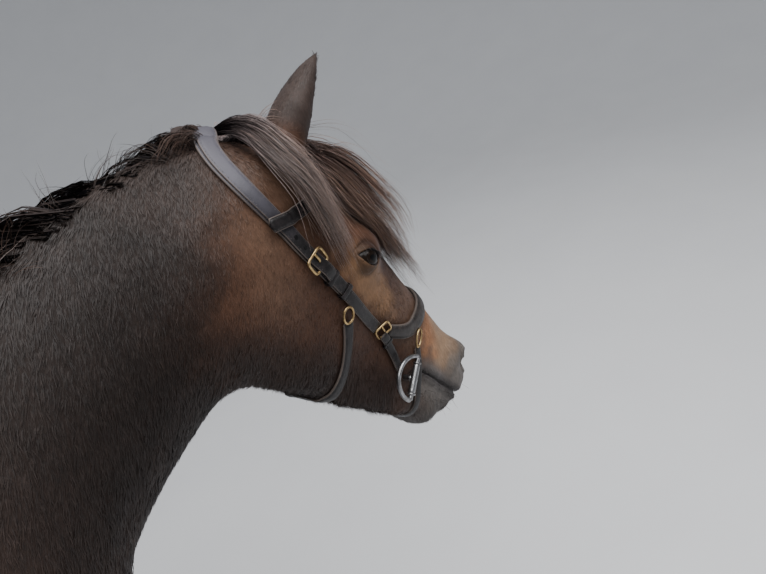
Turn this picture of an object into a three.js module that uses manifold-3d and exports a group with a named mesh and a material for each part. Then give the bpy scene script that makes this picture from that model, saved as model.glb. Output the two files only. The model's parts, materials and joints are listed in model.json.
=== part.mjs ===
// A life-size Icelandic horse, standing with a low, softly bent neck, in a leather bridle with
// a shaped noseband and a steel bit. Millimetres, +X to the horse's front, +Y to its left, +Z up.
// The flesh is one smooth field of named sections and muscles, parted by thin flat cuts; the
// mane, forelock and tail are tapered locks, and the bridle lies on the head.
import * as THREE from "three";
import { mergeVertices } from "three/addons/utils/BufferGeometryUtils.js";
import Module from "manifold-3d";

const wasm = await Module();
wasm.setup();

// Driving sizes. The withers stand over x = 0 and the poll is the top of the head between the ears.
const WITHERS = 1378;
const POLL = new THREE.Vector3(690, 0, 1490);
const FACE_DROP = THREE.MathUtils.degToRad(60);
const SIDES = { right: -1, left: 1 };
const TURN = 2 * Math.PI;

// Gap between nodes, how far what lies on the skin stays clear of it, and the block of a flat cut.
const GAP = 0.3;
const CLEAR = { head: 1.2, body: 4 };
const BEYOND = 6000;

const vec = (x, y, z) => new THREE.Vector3(x, y, z);
const radians = THREE.MathUtils.degToRad;
const mix = THREE.MathUtils.lerp;

// Smooth curve through rows of [position, value, value, ...], held level past its ends.
function through(rows) {
  const n = rows.length;
  const slope = rows.map((row, i) => {
    const a = rows[Math.max(i - 1, 0)];
    const b = rows[Math.min(i + 1, n - 1)];
    return row.map((_, k) => (b[k] - a[k]) / (b[0] - a[0]));
  });
  return (s) => {
    if (s <= rows[0][0]) return rows[0].slice(1);
    if (s >= rows[n - 1][0]) return rows[n - 1].slice(1);
    let i = 0;
    while (rows[i + 1][0] < s) i += 1;
    const width = rows[i + 1][0] - rows[i][0];
    const t = (s - rows[i][0]) / width;
    const h1 = t * t * (3 - 2 * t);
    const h2 = t * (1 - t) * (1 - t) * width;
    const h3 = t * t * (t - 1) * width;
    return rows[i]
      .map((v, k) => v * (1 - h1) + rows[i + 1][k] * h1 + slope[i][k] * h2 + slope[i + 1][k] * h3)
      .slice(1);
  };
}

// Joins two distances and rounds the crease between them over a reach of k.
function blend(a, b, k) {
  const h = Math.max(k - Math.abs(a - b), 0) / k;
  return Math.min(a, b) - (h * h * k) / 4;
}

// Distance to an oval of half sizes a and b, measured along the ray from its centre.
function oval(p, q, a, b) {
  const share = Math.hypot(p / a, q / b);
  return share < 1e-3 ? -Math.min(a, b) : (Math.hypot(p, q) * (share - 1)) / share;
}

// Past either end of a sectioned body the distance is to its flat end.
function withEnds(d, s, from, to) {
  const past = Math.max(from - s, s - to, 0);
  return past > 0 ? Math.hypot(Math.max(d, 0), past) : d;
}

// A muscle or bone: an ellipsoid on both sides of the body, pitched about Y by turn degrees.
function muscle(x, y, z, rx, ry, rz, turn, k) {
  const c = Math.cos(radians(turn));
  const s = Math.sin(radians(turn));
  return {
    k,
    at(px, py, pz) {
      const dx = px - x;
      const dz = pz - z;
      const u = dx * c + dz * s;
      const w = dz * c - dx * s;
      const v = Math.abs(py) - y;
      const near = Math.hypot(u / rx, v / ry, w / rz);
      const grade = Math.hypot(u / (rx * rx), v / (ry * ry), w / (rz * rz));
      return grade < 1e-9 ? -Math.min(rx, ry, rz) : (near * (near - 1)) / grade;
    },
  };
}

// Trunk: rows of [x, top, bottom, half width, how much narrower the top is].
const TRUNK = through([
  [-1105, 1160, 1090, 45, 0],
  [-1085, 1198, 1040, 92, 0],
  [-1030, 1258, 970, 150, 0.08],
  [-940, 1314, 900, 198, 0.12],
  [-820, 1342, 830, 236, 0.14],
  [-690, 1342, 765, 262, 0.15],
  [-540, 1322, 712, 284, 0.16],
  [-380, 1309, 692, 292, 0.16],
  [-220, 1314, 694, 280, 0.2],
  [-90, 1350, 706, 252, 0.32],
  [0, WITHERS - 2, 718, 228, 0.42],
  [90, 1366, 738, 205, 0.42],
  [180, 1315, 780, 185, 0.3],
  [260, 1240, 850, 160, 0.15],
  [312, 1165, 915, 122, 0.05],
  [338, 1090, 975, 66, 0],
]);

function trunk(x, y, z) {
  const [top, bottom, half, egg] = TRUNK(x);
  const middle = (top + bottom) / 2;
  const tall = (top - bottom) / 2;
  const t = THREE.MathUtils.clamp((z - middle) / tall, -1, 1);
  return withEnds(oval(y, z - middle, half * (1 - egg * t), tall), x, -1105, 338);
}

const TRUNK_MUSCLES = [
  muscle(110, 104, 1130, 200, 66, 112, -52, 90),
  muscle(35, 150, 945, 118, 62, 120, 20, 60),
  muscle(240, 84, 990, 92, 78, 105, -20, 70),
  muscle(-790, 100, 1215, 260, 128, 122, 4, 80),
  muscle(-930, 122, 1035, 176, 96, 215, 10, 80),
  muscle(-760, 150, 935, 135, 80, 175, -30, 80),
  muscle(-690, 196, 1246, 52, 24, 36, 0, 70),
  muscle(-1040, 88, 1060, 76, 76, 150, 8, 70),
];

// Neck: centres of its sections in the X-Z plane, with half depth and half width along it.
const NECK_SPINE = new THREE.CatmullRomCurve3(
  [
    [20, 1165],
    [110, 1235],
    [215, 1298],
    [330, 1343],
    [440, 1372],
    [545, 1392],
    [640, 1392],
  ].map(([x, z]) => vec(x, 0, z)),
);
const NECK_SAMPLES = 48;
const NECK_POINTS = NECK_SPINE.getSpacedPoints(NECK_SAMPLES);
const NECK_TANGENTS = NECK_POINTS.map((_, i) => NECK_SPINE.getTangentAt(i / NECK_SAMPLES));
const NECK_GIRTH = through([
  [0, 186, 150],
  [0.14, 192, 138],
  [0.3, 172, 112],
  [0.48, 146, 92],
  [0.65, 134, 82],
  [0.82, 128, 76],
  [1, 112, 66],
]);

function neck(x, y, z) {
  if (x < -150) return 1000;
  let best = 0;
  let nearest = Infinity;
  NECK_POINTS.forEach((c, i) => {
    const d = (c.x - x) ** 2 + (c.z - z) ** 2;
    if (d < nearest) [nearest, best] = [d, i];
  });
  const c = NECK_POINTS[best];
  const t = NECK_TANGENTS[best];
  const step = NECK_SPINE.getLength() / NECK_SAMPLES;
  const along = best / NECK_SAMPLES + ((x - c.x) * t.x + (z - c.z) * t.z) / (step * NECK_SAMPLES);
  const up = (z - c.z) * t.x - (x - c.x) * t.z;
  const [deep, wide] = NECK_GIRTH(along);
  const egg = 0.28 * THREE.MathUtils.clamp(up / deep, -1, 1);
  return withEnds(oval(y, up, wide * (1 - egg), deep), along * step * NECK_SAMPLES, 0, step * NECK_SAMPLES);
}

// Head frame: u runs down the face from the poll, v from the face towards the throat.
const FACE = vec(Math.cos(FACE_DROP), 0, -Math.sin(FACE_DROP));
const THROAT = vec(-Math.sin(FACE_DROP), 0, -Math.cos(FACE_DROP));
const faceU = (x, z) => (x - POLL.x) * FACE.x + (z - POLL.z) * FACE.z;
const faceV = (x, z) => (x - POLL.x) * THROAT.x + (z - POLL.z) * THROAT.z;
const onHead = (u, v, y) => vec(POLL.x + u * FACE.x + v * THROAT.x, y, POLL.z + u * FACE.z + v * THROAT.z);

// Skull: rows of [u, face line, lower edge, half width].
const SKULL = through([
  [-45, 62, 110, 30],
  [-25, 26, 150, 52],
  [10, 2, 160, 66],
  [70, -11, 164, 80],
  [140, -16, 168, 88],
  [200, -13, 172, 86],
  [260, -5, 174, 74],
  [330, 4, 174, 63],
  [400, 11, 172, 55],
  [456, 18, 172, 50],
  [504, 24, 174, 48],
  [539, 30, 166, 46],
  [569, 42, 150, 39],
  [586, 64, 124, 22],
]);

function skull(u, v, y) {
  const [top, bottom, half] = SKULL(u);
  const middle = (top + bottom) / 2;
  return withEnds(oval(y, v - middle, half, (bottom - top) / 2), u, -45, 586);
}

// Muscles and bones of the head, placed in the head frame as (u, y, v).
const HEAD_MUSCLES = [
  muscle(128, 42, 156, 132, 36, 100, -8, 34),
  muscle(60, 36, 150, 84, 38, 96, 0, 34),
  muscle(300, 28, 190, 205, 24, 40, -8, 34),
  muscle(186, 70, 42, 40, 20, 26, -18, 18),
  muscle(192, 74, 58, 30, 20, 21, -18, 10),
  muscle(60, 60, 50, 62, 24, 40, 0, 26),
  muscle(285, 56, 92, 80, 12, 12, 4, 16),
  muscle(534, 31, 64, 36, 23, 32, 0, 16),
  muscle(550, 12, 100, 33, 36, 30, -20, 20),
  muscle(489, 10, 170, 50, 28, 30, -4, 18),
  muscle(546, 8, 148, 32, 28, 18, -20, 12),
  muscle(450, 28, 128, 66, 20, 38, 0, 24),
];

function head(x, y, z) {
  const u = faceU(x, z);
  const v = faceV(x, z);
  let d = skull(u, v, y);
  for (const m of HEAD_MUSCLES) d = blend(d, m.at(u, y, v), m.k);
  return d;
}

// Foreleg and hind leg: rows of [z, centre x, centre y, half fore-and-aft, half sideways].
const FORELEG = through([
  [70, 122, 122, 46, 45],
  [88, 114, 122, 40, 40],
  [112, 98, 122, 31, 31],
  [140, 84, 122, 31, 30],
  [172, 74, 123, 38, 33],
  [205, 76, 123, 33, 27],
  [270, 80, 124, 29, 22],
  [340, 82, 125, 30, 24],
  [375, 84, 126, 37, 34],
  [418, 90, 127, 44, 42],
  [460, 87, 128, 41, 39],
  [520, 86, 130, 42, 38],
  [600, 86, 134, 54, 45],
  [690, 80, 140, 72, 54],
  [780, 68, 146, 92, 62],
  [900, 60, 150, 100, 62],
]);
const HINDLEG = through([
  [70, -1012, 130, 46, 44],
  [88, -1020, 130, 40, 40],
  [112, -1036, 130, 32, 31],
  [142, -1052, 130, 32, 30],
  [178, -1066, 130, 40, 34],
  [215, -1070, 130, 34, 28],
  [290, -1074, 130, 31, 23],
  [380, -1078, 131, 34, 26],
  [440, -1084, 132, 46, 36],
  [500, -1090, 133, 58, 42],
  [545, -1086, 134, 66, 41],
  [590, -1060, 136, 66, 41],
  [650, -1010, 138, 74, 48],
  [720, -950, 142, 98, 60],
  [800, -890, 146, 140, 76],
  [880, -850, 146, 180, 86],
  [960, -840, 146, 190, 90],
]);

// Each leg's sections, how far its hoof is swung forward on the left and back on the right, the
// height that it swings from, and what stands out of it: the elbow, stifle, hock and fetlock hair.
const LIMBS = {
  fore: {
    rows: FORELEG,
    top: 800,
    swing: -28,
    bumps: [muscle(50, 123, 148, 17, 19, 34, -12, 14), muscle(50, 127, 402, 16, 20, 28, 0, 18)],
  },
  hind: {
    rows: HINDLEG,
    top: 900,
    swing: 62,
    bumps: [
      muscle(-1091, 130, 152, 18, 19, 36, -12, 14),
      muscle(-640, 148, 868, 60, 62, 78, -30, 50),
      muscle(-1136, 134, 548, 22, 20, 44, 0, 24),
    ],
  },
};
const LIMB_TOP = 960;

function swung({ top, swing }, side, z) {
  return side * swing * Math.max(0, 1 - z / top);
}

function limb(leg, x, y, z) {
  const px = x - swung(leg, y < 0 ? -1 : 1, z);
  const [cx, cy, long, wide] = leg.rows(z);
  let d = withEnds(oval(px - cx, Math.abs(y) - cy, long, wide), z, 0, LIMB_TOP);
  for (const m of leg.bumps) d = blend(d, m.at(px, y, z), m.k);
  return d;
}

// The whole flesh as one field, in millimetres outside the surface.
function flesh(x, y, z) {
  let d = trunk(x, y, z);
  for (const m of TRUNK_MUSCLES) d = blend(d, m.at(x, y, z), m.k);
  d = blend(d, neck(x, y, z), 110);
  if (x > 330) d = blend(d, head(x, y, z), 40);
  if (z < LIMB_TOP + 90) for (const leg of Object.values(LIMBS)) d = blend(d, limb(leg, x, y, z), 46);
  return d;
}

// The corners, edges and faces of one grid cell; a face lists its corners and the edges beside each.
const CORNERS = [0, 1, 2, 3, 4, 5, 6, 7].map((c) => [c & 1, (c >> 1) & 1, c >> 2]);
const EDGES = CORNERS.flatMap((_, a) =>
  [1, 2, 4].filter((bit) => !(a & bit)).map((bit) => [a, a | bit]),
);
const FACES = [1, 2, 4].flatMap((bit) =>
  [0, bit].map((level) => {
    const [p, q] = [1, 2, 4].filter((other) => other !== bit);
    const ring = [level, level | p, level | p | q, level | q];
    const edge = (m, n) => EDGES.findIndex(([a, b]) => (a === m && b === n) || (a === n && b === m));
    return ring.map((corner, i) => ({
      corner,
      before: edge(ring[(i + 3) % 4], corner),
      after: edge(corner, ring[(i + 1) % 4]),
    }));
  }),
);
const edgeOf = (a, b) => EDGES.findIndex((e) => e[0] === a && e[1] === b);

// The sheets of surface through one cell: which crossed edges belong together.
function sheets(inside) {
  const sheet = EDGES.map(([a, b], i) => (inside[a] !== inside[b] ? i : -1));
  const join = (a, b) => {
    const [from, to] = [sheet[a], sheet[b]];
    sheet.forEach((s, i) => {
      if (s === from) sheet[i] = to;
    });
  };
  for (const ring of FACES) {
    const crossed = ring.filter(({ after }) => sheet[after] >= 0).map(({ after }) => after);
    if (crossed.length === 2) join(crossed[0], crossed[1]);
    if (crossed.length === 4)
      for (const { corner, before, after } of ring) if (inside[corner]) join(before, after);
  }
  return sheet;
}

// Grid lines from low to high, each row of [start, step] setting the spacing from there on.
function lines(rows, high) {
  const made = [rows[0][0]];
  rows.forEach(([start, step], i) => {
    const end = i + 1 < rows.length ? rows[i + 1][0] : high;
    const count = Math.max(1, Math.round((end - start) / step));
    for (let n = 1; n <= count; n += 1) made.push(start + ((end - start) * n) / count);
  });
  return made;
}

// Surface of a field on a grid whose lines run along the three axes of a frame, as a solid.
function surface(field, grid, frame = new THREE.Matrix4()) {
  const [nx, ny, nz] = grid.map((g) => g.length);
  const at = (i, j, k) => (k * ny + j) * nx + i;
  const spot = new THREE.Vector3();
  const value = new Float32Array(nx * ny * nz);
  for (let k = 0; k < nz; k += 1)
    for (let j = 0; j < ny; j += 1)
      for (let i = 0; i < nx; i += 1) {
        const rim = i === 0 || j === 0 || k === 0 || i === nx - 1 || j === ny - 1 || k === nz - 1;
        spot.set(grid[0][i], grid[1][j], grid[2][k]).applyMatrix4(frame);
        const d = field(spot.x, spot.y, spot.z);
        value[at(i, j, k)] = rim ? Math.max(d, 1) : d;
      }
  const owner = new Map();
  const points = [];
  for (let k = 0; k < nz - 1; k += 1)
    for (let j = 0; j < ny - 1; j += 1)
      for (let i = 0; i < nx - 1; i += 1) {
        const v = CORNERS.map(([a, b, c]) => value[at(i + a, j + b, k + c)]);
        const inside = v.map((d) => d < 0);
        if (inside.every((d) => d === inside[0])) continue;
        const sheet = sheets(inside);
        for (const name of new Set(sheet.filter((e) => e >= 0))) {
          const mine = EDGES.map((_, e) => e).filter((e) => sheet[e] === name);
          const sum = [0, 0, 0];
          for (const e of mine) {
            const [a, b] = EDGES[e];
            const t = v[a] / (v[a] - v[b]);
            CORNERS[a].forEach((c, m) => (sum[m] += c + t * (CORNERS[b][m] - c)));
            owner.set(at(i, j, k) * EDGES.length + e, points.length / 3);
          }
          const share = sum.map((total) => total / mine.length);
          spot.fromArray([i, j, k].map((n, m) => mix(grid[m][n], grid[m][n + 1], share[m])));
          spot.applyMatrix4(frame);
          points.push(spot.x, spot.y, spot.z);
        }
      }
  const quads = [];
  for (let k = 0; k < nz - 1; k += 1)
    for (let j = 0; j < ny - 1; j += 1)
      for (let i = 0; i < nx - 1; i += 1)
        [0, 1, 2].forEach((axis) => {
          const bit = [1, 2, 4];
          const here = value[at(i, j, k)] < 0;
          const next = value[at(i + (axis === 0), j + (axis === 1), k + (axis === 2))] < 0;
          if (here === next) return;
          const [p, q] = [(axis + 1) % 3, (axis + 2) % 3];
          const corner = (onP, onQ) => {
            const back = [0, 0, 0];
            back[p] = onP;
            back[q] = onQ;
            const cell = at(i - back[0], j - back[1], k - back[2]);
            const start = onP * bit[p] + onQ * bit[q];
            return owner.get(cell * EDGES.length + edgeOf(start, start + bit[axis]));
          };
          const quad = [corner(1, 1), corner(0, 1), corner(0, 0), corner(1, 0)];
          quads.push(here ? quad : quad.reverse());
        });
  drawOnto(field, points, Math.min(...grid.map((g) => g[1] - g[0])));
  return solid(points, quads);
}

// Moves points along the field's slope onto its surface, no further than most.
function drawOnto(field, points, most) {
  for (let round = 0; round < 3; round += 1)
    for (let i = 0; i < points.length; i += 3) {
      const [x, y, z] = points.slice(i, i + 3);
      const d = field(x, y, z);
      const g = [field(x + 1, y, z) - d, field(x, y + 1, z) - d, field(x, y, z + 1) - d];
      const steep = g[0] ** 2 + g[1] ** 2 + g[2] ** 2;
      if (steep < 0.05) continue;
      const move = THREE.MathUtils.clamp(-d / steep, -most / 3, most / 3);
      for (let m = 0; m < 3; m += 1) points[i + m] += g[m] * move;
    }
}

// A closed solid from flat coordinates and faces of three or four corners, split on the shorter diagonal.
function solid(points, faces) {
  const triangles = [];
  const apart = (a, b) => Math.hypot(...[0, 1, 2].map((m) => points[a * 3 + m] - points[b * 3 + m]));
  for (const f of faces) {
    if (f.length === 3) triangles.push(...f);
    else if (apart(f[0], f[2]) <= apart(f[1], f[3])) triangles.push(f[0], f[1], f[2], f[0], f[2], f[3]);
    else triangles.push(f[0], f[1], f[3], f[1], f[2], f[3]);
  }
  const vertProperties = new Float32Array(points);
  const triVerts = new Uint32Array(triangles);
  return largest(new wasm.Manifold(new wasm.Mesh({ numProp: 3, vertProperties, triVerts })));
}

// A three.js geometry as a solid.
function solidOf(geometry, matrix) {
  const g = geometry.clone();
  if (matrix) g.applyMatrix4(matrix);
  g.deleteAttribute("normal");
  g.deleteAttribute("uv");
  const merged = mergeVertices(g, 1e-3);
  return new wasm.Manifold(
    new wasm.Mesh({
      numProp: 3,
      vertProperties: merged.attributes.position.array,
      triVerts: new Uint32Array(merged.index.array),
    }),
  );
}

// Only the largest closed body of a solid, without loose scraps.
function largest(s) {
  const pieces = s.decompose();
  return pieces.reduce((a, b) => (a.volume() > b.volume() ? a : b));
}

// The part of a solid on the far side of a plane through a point, with half the gap left clear.
function beyond(s, point, normal, clear = GAP / 2) {
  const n = normal.clone().normalize();
  const turn = new THREE.Quaternion().setFromUnitVectors(vec(0, 0, 1), n);
  const centre = point.clone().addScaledVector(n, clear + BEYOND / 2);
  const matrix = new THREE.Matrix4().compose(centre, turn, vec(1, 1, 1));
  return s.intersect(solidOf(new THREE.BoxGeometry(BEYOND, BEYOND, BEYOND), matrix));
}

// A closed solid through rings of points, each ring one cross-section, with fans over both ends.
function loft(rings, closed = false) {
  const sides = rings[0].length;
  const points = rings.flat().flatMap((p) => [p.x, p.y, p.z]);
  const faces = [];
  for (let r = 0; r < rings.length - (closed ? 0 : 1); r += 1)
    for (let i = 0; i < sides; i += 1) {
      const j = (i + 1) % sides;
      const next = ((r + 1) % rings.length) * sides;
      faces.push([r * sides + i, r * sides + j, next + j, next + i]);
    }
  const last = (rings.length - 1) * sides;
  for (let i = 1; i + 1 < sides && !closed; i += 1) {
    faces.push([0, i + 1, i]);
    faces.push([last, last + i, last + i + 1]);
  }
  return solid(points, faces);
}

// A loft whose rings may run either way round.
function eitherWay(rings, closed = false) {
  const made = loft(rings, closed);
  return made.volume() > 0 ? made : loft(rings.map((ring) => [...ring].reverse()), closed);
}

// Points on an oval round a centre, a and b its half axes as vectors.
function ovalRing(centre, a, b, count) {
  return Array.from({ length: count }, (_, i) => {
    const angle = (i / count) * TURN;
    return centre.clone().addScaledVector(a, Math.cos(angle)).addScaledVector(b, Math.sin(angle));
  });
}

// A ball stretched along three axes given as vectors.
function ball(centre, a, b, c, rounds = [14, 9]) {
  const matrix = new THREE.Matrix4().makeBasis(a, b, c).setPosition(centre);
  return solidOf(new THREE.SphereGeometry(1, ...rounds), matrix);
}

// Rod bent along points, open or closed on itself.
function rod(points, radius, sides = 6, closed = true) {
  const count = points.length;
  const ahead = (i) => (closed ? (i + 1) % count : Math.min(i + 1, count - 1));
  const behind = (i) => (closed ? (i + count - 1) % count : Math.max(i - 1, 0));
  const rings = points.map((p, i) => {
    const t = points[ahead(i)].clone().sub(points[behind(i)]).normalize();
    const a = vec(0, 1, 0).cross(t).setLength(radius);
    return ovalRing(p, a, t.clone().cross(a), sides);
  });
  return eitherWay(rings, closed);
}

// Slope of the flesh field, which points straight out of the skin.
function outward({ x, y, z }) {
  const d = flesh(x, y, z);
  return vec(flesh(x + 1, y, z) - d, flesh(x, y + 1, z) - d, flesh(x, y, z + 1) - d).normalize();
}

// A point moved along the field's slope until it floats at a height over the skin.
function lay(p, height) {
  const q = p.clone();
  for (let round = 0; round < 8; round += 1)
    q.addScaledVector(outward(q), (height - flesh(q.x, q.y, q.z)) * 0.9);
  return q;
}

// A strap laid on the skin through points; its width and height over the skin may vary along it.
function strap(points, width, thick, height = () => 2, step = 14) {
  const route = new THREE.CatmullRomCurve3(points, false, "centripetal");
  const count = Math.max(2, Math.round(route.getLength() / step));
  const middle = Array.from({ length: count + 1 }, (_, i) =>
    lay(route.getPointAt(i / count), height(i / count)),
  );
  const rings = middle.map((p, i) => {
    const t = middle[Math.min(i + 1, count)].clone().sub(middle[Math.max(i - 1, 0)]);
    const across = outward(p).cross(t).setLength(width(i / count) / 2);
    const edges = [-1, 1].map((way) => lay(p.clone().addScaledVector(across, way), height(i / count)));
    const tops = edges.map((e) => e.clone().addScaledVector(outward(e), thick));
    return [edges[0], edges[1], tops[1], tops[0]];
  });
  return loft(rings);
}

// A flat tapered lock of hair along points, its flat side facing the way it lies.
function lock(path, facing, width, thick) {
  const count = path.length - 1;
  const rings = path.map((p, i) => {
    const t = path[Math.min(i + 1, count)].clone().sub(path[Math.max(i - 1, 0)]).normalize();
    const across = facing[i].clone().cross(t).normalize();
    const out = t.clone().cross(across);
    const share = i / count;
    const swell = Math.sin(Math.min(share * 3 + 0.35, 1) * Math.PI * 0.5);
    const w = width * (0.35 + 0.65 * swell) * (1 - share ** 2.4) + 0.8;
    const h = thick * (1 - 0.85 * share) + 0.4;
    return ovalRing(p, across.multiplyScalar(-w / 2), out.multiplyScalar(-h / 2), 4);
  });
  return eitherWay(rings);
}

// Hair that leaves a point, follows the skin downhill and hangs free past the widest place.
function drape(from, heading, length, height, pull, count = 5) {
  const path = [from.clone()];
  const facing = [outward(from)];
  const way = heading.clone().normalize();
  const steps = count * 4;
  let p = from.clone();
  for (let n = 1; n <= steps; n += 1) {
    const out = outward(p);
    const held = out.z > -0.12;
    way.z -= held ? pull : 0.6;
    way.normalize();
    if (held) way.addScaledVector(out, -way.dot(out)).normalize();
    p.addScaledVector(way, length / steps);
    if (held || flesh(p.x, p.y, p.z) < height) p = lay(p, height);
    if (n % 4 === 0) {
      path.push(p.clone());
      facing.push(held ? outward(p) : facing[facing.length - 1].clone());
    }
  }
  return { path, facing };
}

// Repeatable scatter between -1 and 1.
let seed = 7;
function scatter() {
  seed = (seed * 16807) % 2147483647;
  return (seed / 2147483647) * 2 - 1;
}

const horse = new THREE.Group();

function add(name, made, material) {
  const mesh = largest(made).getMesh();
  const geometry = new THREE.BufferGeometry();
  geometry.setAttribute("position", new THREE.BufferAttribute(new Float32Array(mesh.vertProperties), 3));
  geometry.setIndex(new THREE.BufferAttribute(mesh.triVerts, 1));
  geometry.computeVertexNormals();
  const node = new THREE.Mesh(geometry, material);
  node.name = name;
  horse.add(node);
}

const paint = (color, roughness, metalness = 0) =>
  new THREE.MeshStandardMaterial({ color, roughness, metalness });
const COAT = paint(0x3b2a20, 0.85);
const LEG_COAT = paint(0x1c1512, 0.85);
const HAIR = paint(0x231a17, 0.7);
const HORN = paint(0x2a2624, 0.6);
const EYE_BALL = paint(0x17100c, 0.15);
const LEATHER = paint(0x2a1d16, 0.45);
const BRASS = paint(0xb08d4a, 0.3, 1);
const STEEL = paint(0xa9acb0, 0.25, 1);

// Flat cuts between the parts of the body, each with a point on it and the way out of the trunk.
const NECK_CUT = { at: vec(110, 0, 1330), out: vec(0.757, 0, 0.653) };
const HEAD_CUT = { at: vec(645, 0, 1490), out: vec(0.857, 0, -0.515) };
const LEG_CUT = { at: vec(0, 0, 690), out: vec(0, 0, -1) };
const inner = (s, cut) => beyond(s, cut.at, cut.out.clone().negate());
const outer = (s, cut) => beyond(s, cut.at, cut.out);

// Grids: the body's own axes, and the head's.
const even = (low, high, step) => lines([[low, step]], high);
const HEAD_FRAME = new THREE.Matrix4().makeBasis(FACE, THROAT, vec(0, 1, 0)).setPosition(POLL);
const HEAD_GRID = [
  lines([[-130, 27], [-40, 22], [440, 16]], 612),
  lines([[-60, 20], [200, 24]], 330),
  even(-126, 126, 18),
];
const TORSO_GRID = [even(-1200, 440, 68), even(-354, 354, 51), even(640, 1450, 56)];
const NECK_GRID = [even(0, 720, 40), even(-210, 210, 38), even(900, 1620, 40)];
const grown = (by) => (x, y, z) => flesh(x, y, z) - by;
const headGrown = surface(grown(CLEAR.head), HEAD_GRID, HEAD_FRAME);
const neckGrown = surface(grown(CLEAR.body), NECK_GRID);
const torsoGrown = surface(grown(CLEAR.body), TORSO_GRID);

// Bit: where its mouthpiece crosses the head, half its barrel's length, how far its dee bulges to
// the rear, the radii of its wire, barrel and mouthpiece, and how far it is turned in the face.
const BIT = { u: 388, v: 154, y: 69, half: 33, bulge: 40, wire: 3.6, barrel: 6, bar: 6, turn: radians(80) };

function mouthpiece(radius, half) {
  const bar = new THREE.CylinderGeometry(radius, radius, 2 * half, 10);
  return solidOf(bar, new THREE.Matrix4().setPosition(onHead(BIT.u, BIT.v, 0)));
}

// Eyes: balls in sockets, with almond openings between the lids.
const EYE = { u: 185, v: 62, y: 81, radius: 20.5, long: 20, high: 12, tilt: radians(-18), clear: 0.5 };

function eyeBall(side, radius) {
  const axes = [vec(radius, 0, 0), vec(0, radius, 0), vec(0, 0, radius)];
  return ball(onHead(EYE.u, EYE.v, side * EYE.y), ...axes, [12, 7]);
}

function eyeOpening(side) {
  const lid = new THREE.Shape();
  lid.moveTo(-EYE.long, 0);
  lid.quadraticCurveTo(0, -2 * EYE.high, EYE.long, 0);
  lid.quadraticCurveTo(0, 1.6 * EYE.high, -EYE.long, 0);
  const block = new THREE.ExtrudeGeometry(lid, { depth: 60, bevelEnabled: false, curveSegments: 6 });
  const across = vec(0, side, 0);
  const long = FACE.clone().applyAxisAngle(vec(0, 1, 0), EYE.tilt);
  const at = onHead(EYE.u, EYE.v, side * (EYE.y + 4));
  const matrix = new THREE.Matrix4().makeBasis(long, across.clone().cross(long), across);
  return solidOf(block, matrix.setPosition(at));
}

// Mouth: a thin cut between the lips, which stops short of the middle of the muzzle.
const MOUTH = through([
  [392, 146],
  [408, 136],
  [430, 130],
  [480, 126],
  [540, 122],
  [620, 116],
]);
const LIPS = { from: 404, to: 626, step: 22.2, half: 0.8 };

function mouthCut() {
  const rings = [];
  for (let u = LIPS.from; u <= LIPS.to; u += LIPS.step) {
    const corners = [[-1, -1], [1, -1], [1, 1], [-1, 1]];
    rings.push(corners.map(([lip, side]) => onHead(u, MOUTH(u)[0] + lip * LIPS.half, side * 80)));
  }
  const core = ball(
    onHead(434, 128, 0),
    FACE.clone().multiplyScalar(138),
    THROAT.clone().multiplyScalar(40),
    vec(0, 34, 0),
  );
  return loft(rings).subtract(core);
}

function nostril(side) {
  const long = FACE.clone().multiplyScalar(19).addScaledVector(THROAT, -9);
  const high = THROAT.clone().multiplyScalar(9).addScaledVector(FACE, 4);
  const deep = long.clone().cross(high).setLength(24);
  return ball(onHead(556, 66, side * 52), long, high, deep, [12, 8]);
}

let headWhole = surface(flesh, HEAD_GRID, HEAD_FRAME);
headWhole = headWhole.subtract(mouthCut()).subtract(mouthpiece(BIT.bar + GAP, 90));
for (const [name, side] of Object.entries(SIDES)) {
  headWhole = headWhole.subtract(eyeBall(side, EYE.radius + EYE.clear)).subtract(eyeOpening(side));
  headWhole = headWhole.subtract(nostril(side));
  add(`eye_${name}`, eyeBall(side, EYE.radius), EYE_BALL);
}
add("head", outer(headWhole, HEAD_CUT), COAT);
add("neck", inner(outer(surface(flesh, NECK_GRID), NECK_CUT), HEAD_CUT), COAT);
add("torso", inner(inner(surface(flesh, TORSO_GRID), NECK_CUT), LEG_CUT), COAT);

// Legs: rings of the field at chosen heights, cut flat above and along the coronet below.
const LEG_SIDES = 10;
const LEG_HEIGHTS = [
  25, 50, 72, 88, 105, 128, 150, 172, 195, 225, 290, 345, 378, 405, 435, 470, 510, 560, 620, 690,
];

// Hoof: half its length and width at the ground, where its rings lie, how it narrows and leans
// back on the way up, and how much fuller its toe is than its heel.
const HOOF = { long: 55, wide: 52, rings: [0, 45, 100], sides: 14, narrow: 0.34, toe: 1.12, heel: 0.92 };
const CORONET = { height: 62, out: vec(-0.38, 0, 1) };

function legRing(leg, side, z) {
  const [cx, cy] = leg.rows(z);
  const centre = vec(cx + swung(leg, side, z), side * cy, z);
  return Array.from({ length: LEG_SIDES }, (_, i) => {
    const angle = (i / LEG_SIDES) * TURN;
    const at = (r) => vec(centre.x + r * Math.cos(angle), centre.y + r * Math.sin(angle), z);
    const within = (r) => flesh(...at(r)) < 0;
    let low = 0;
    let high = 10;
    while (within(high)) [low, high] = [high, high + 8];
    for (let n = 0; n < 14; n += 1) {
      const half = (low + high) / 2;
      if (within(half)) low = half;
      else high = half;
    }
    return at(high);
  });
}

function hoof(foot) {
  const rings = HOOF.rings.map((z) => {
    const size = 1 - (HOOF.narrow * z) / 100;
    const centre = vec(foot.x + 6 - HOOF.narrow * z, foot.y, z);
    const ring = ovalRing(centre, vec(HOOF.long * size, 0, 0), vec(0, HOOF.wide * size, 0), HOOF.sides);
    for (const p of ring) p.x = centre.x + (p.x - centre.x) * (p.x > centre.x ? HOOF.toe : HOOF.heel);
    return ring;
  });
  return loft(rings);
}

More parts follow.
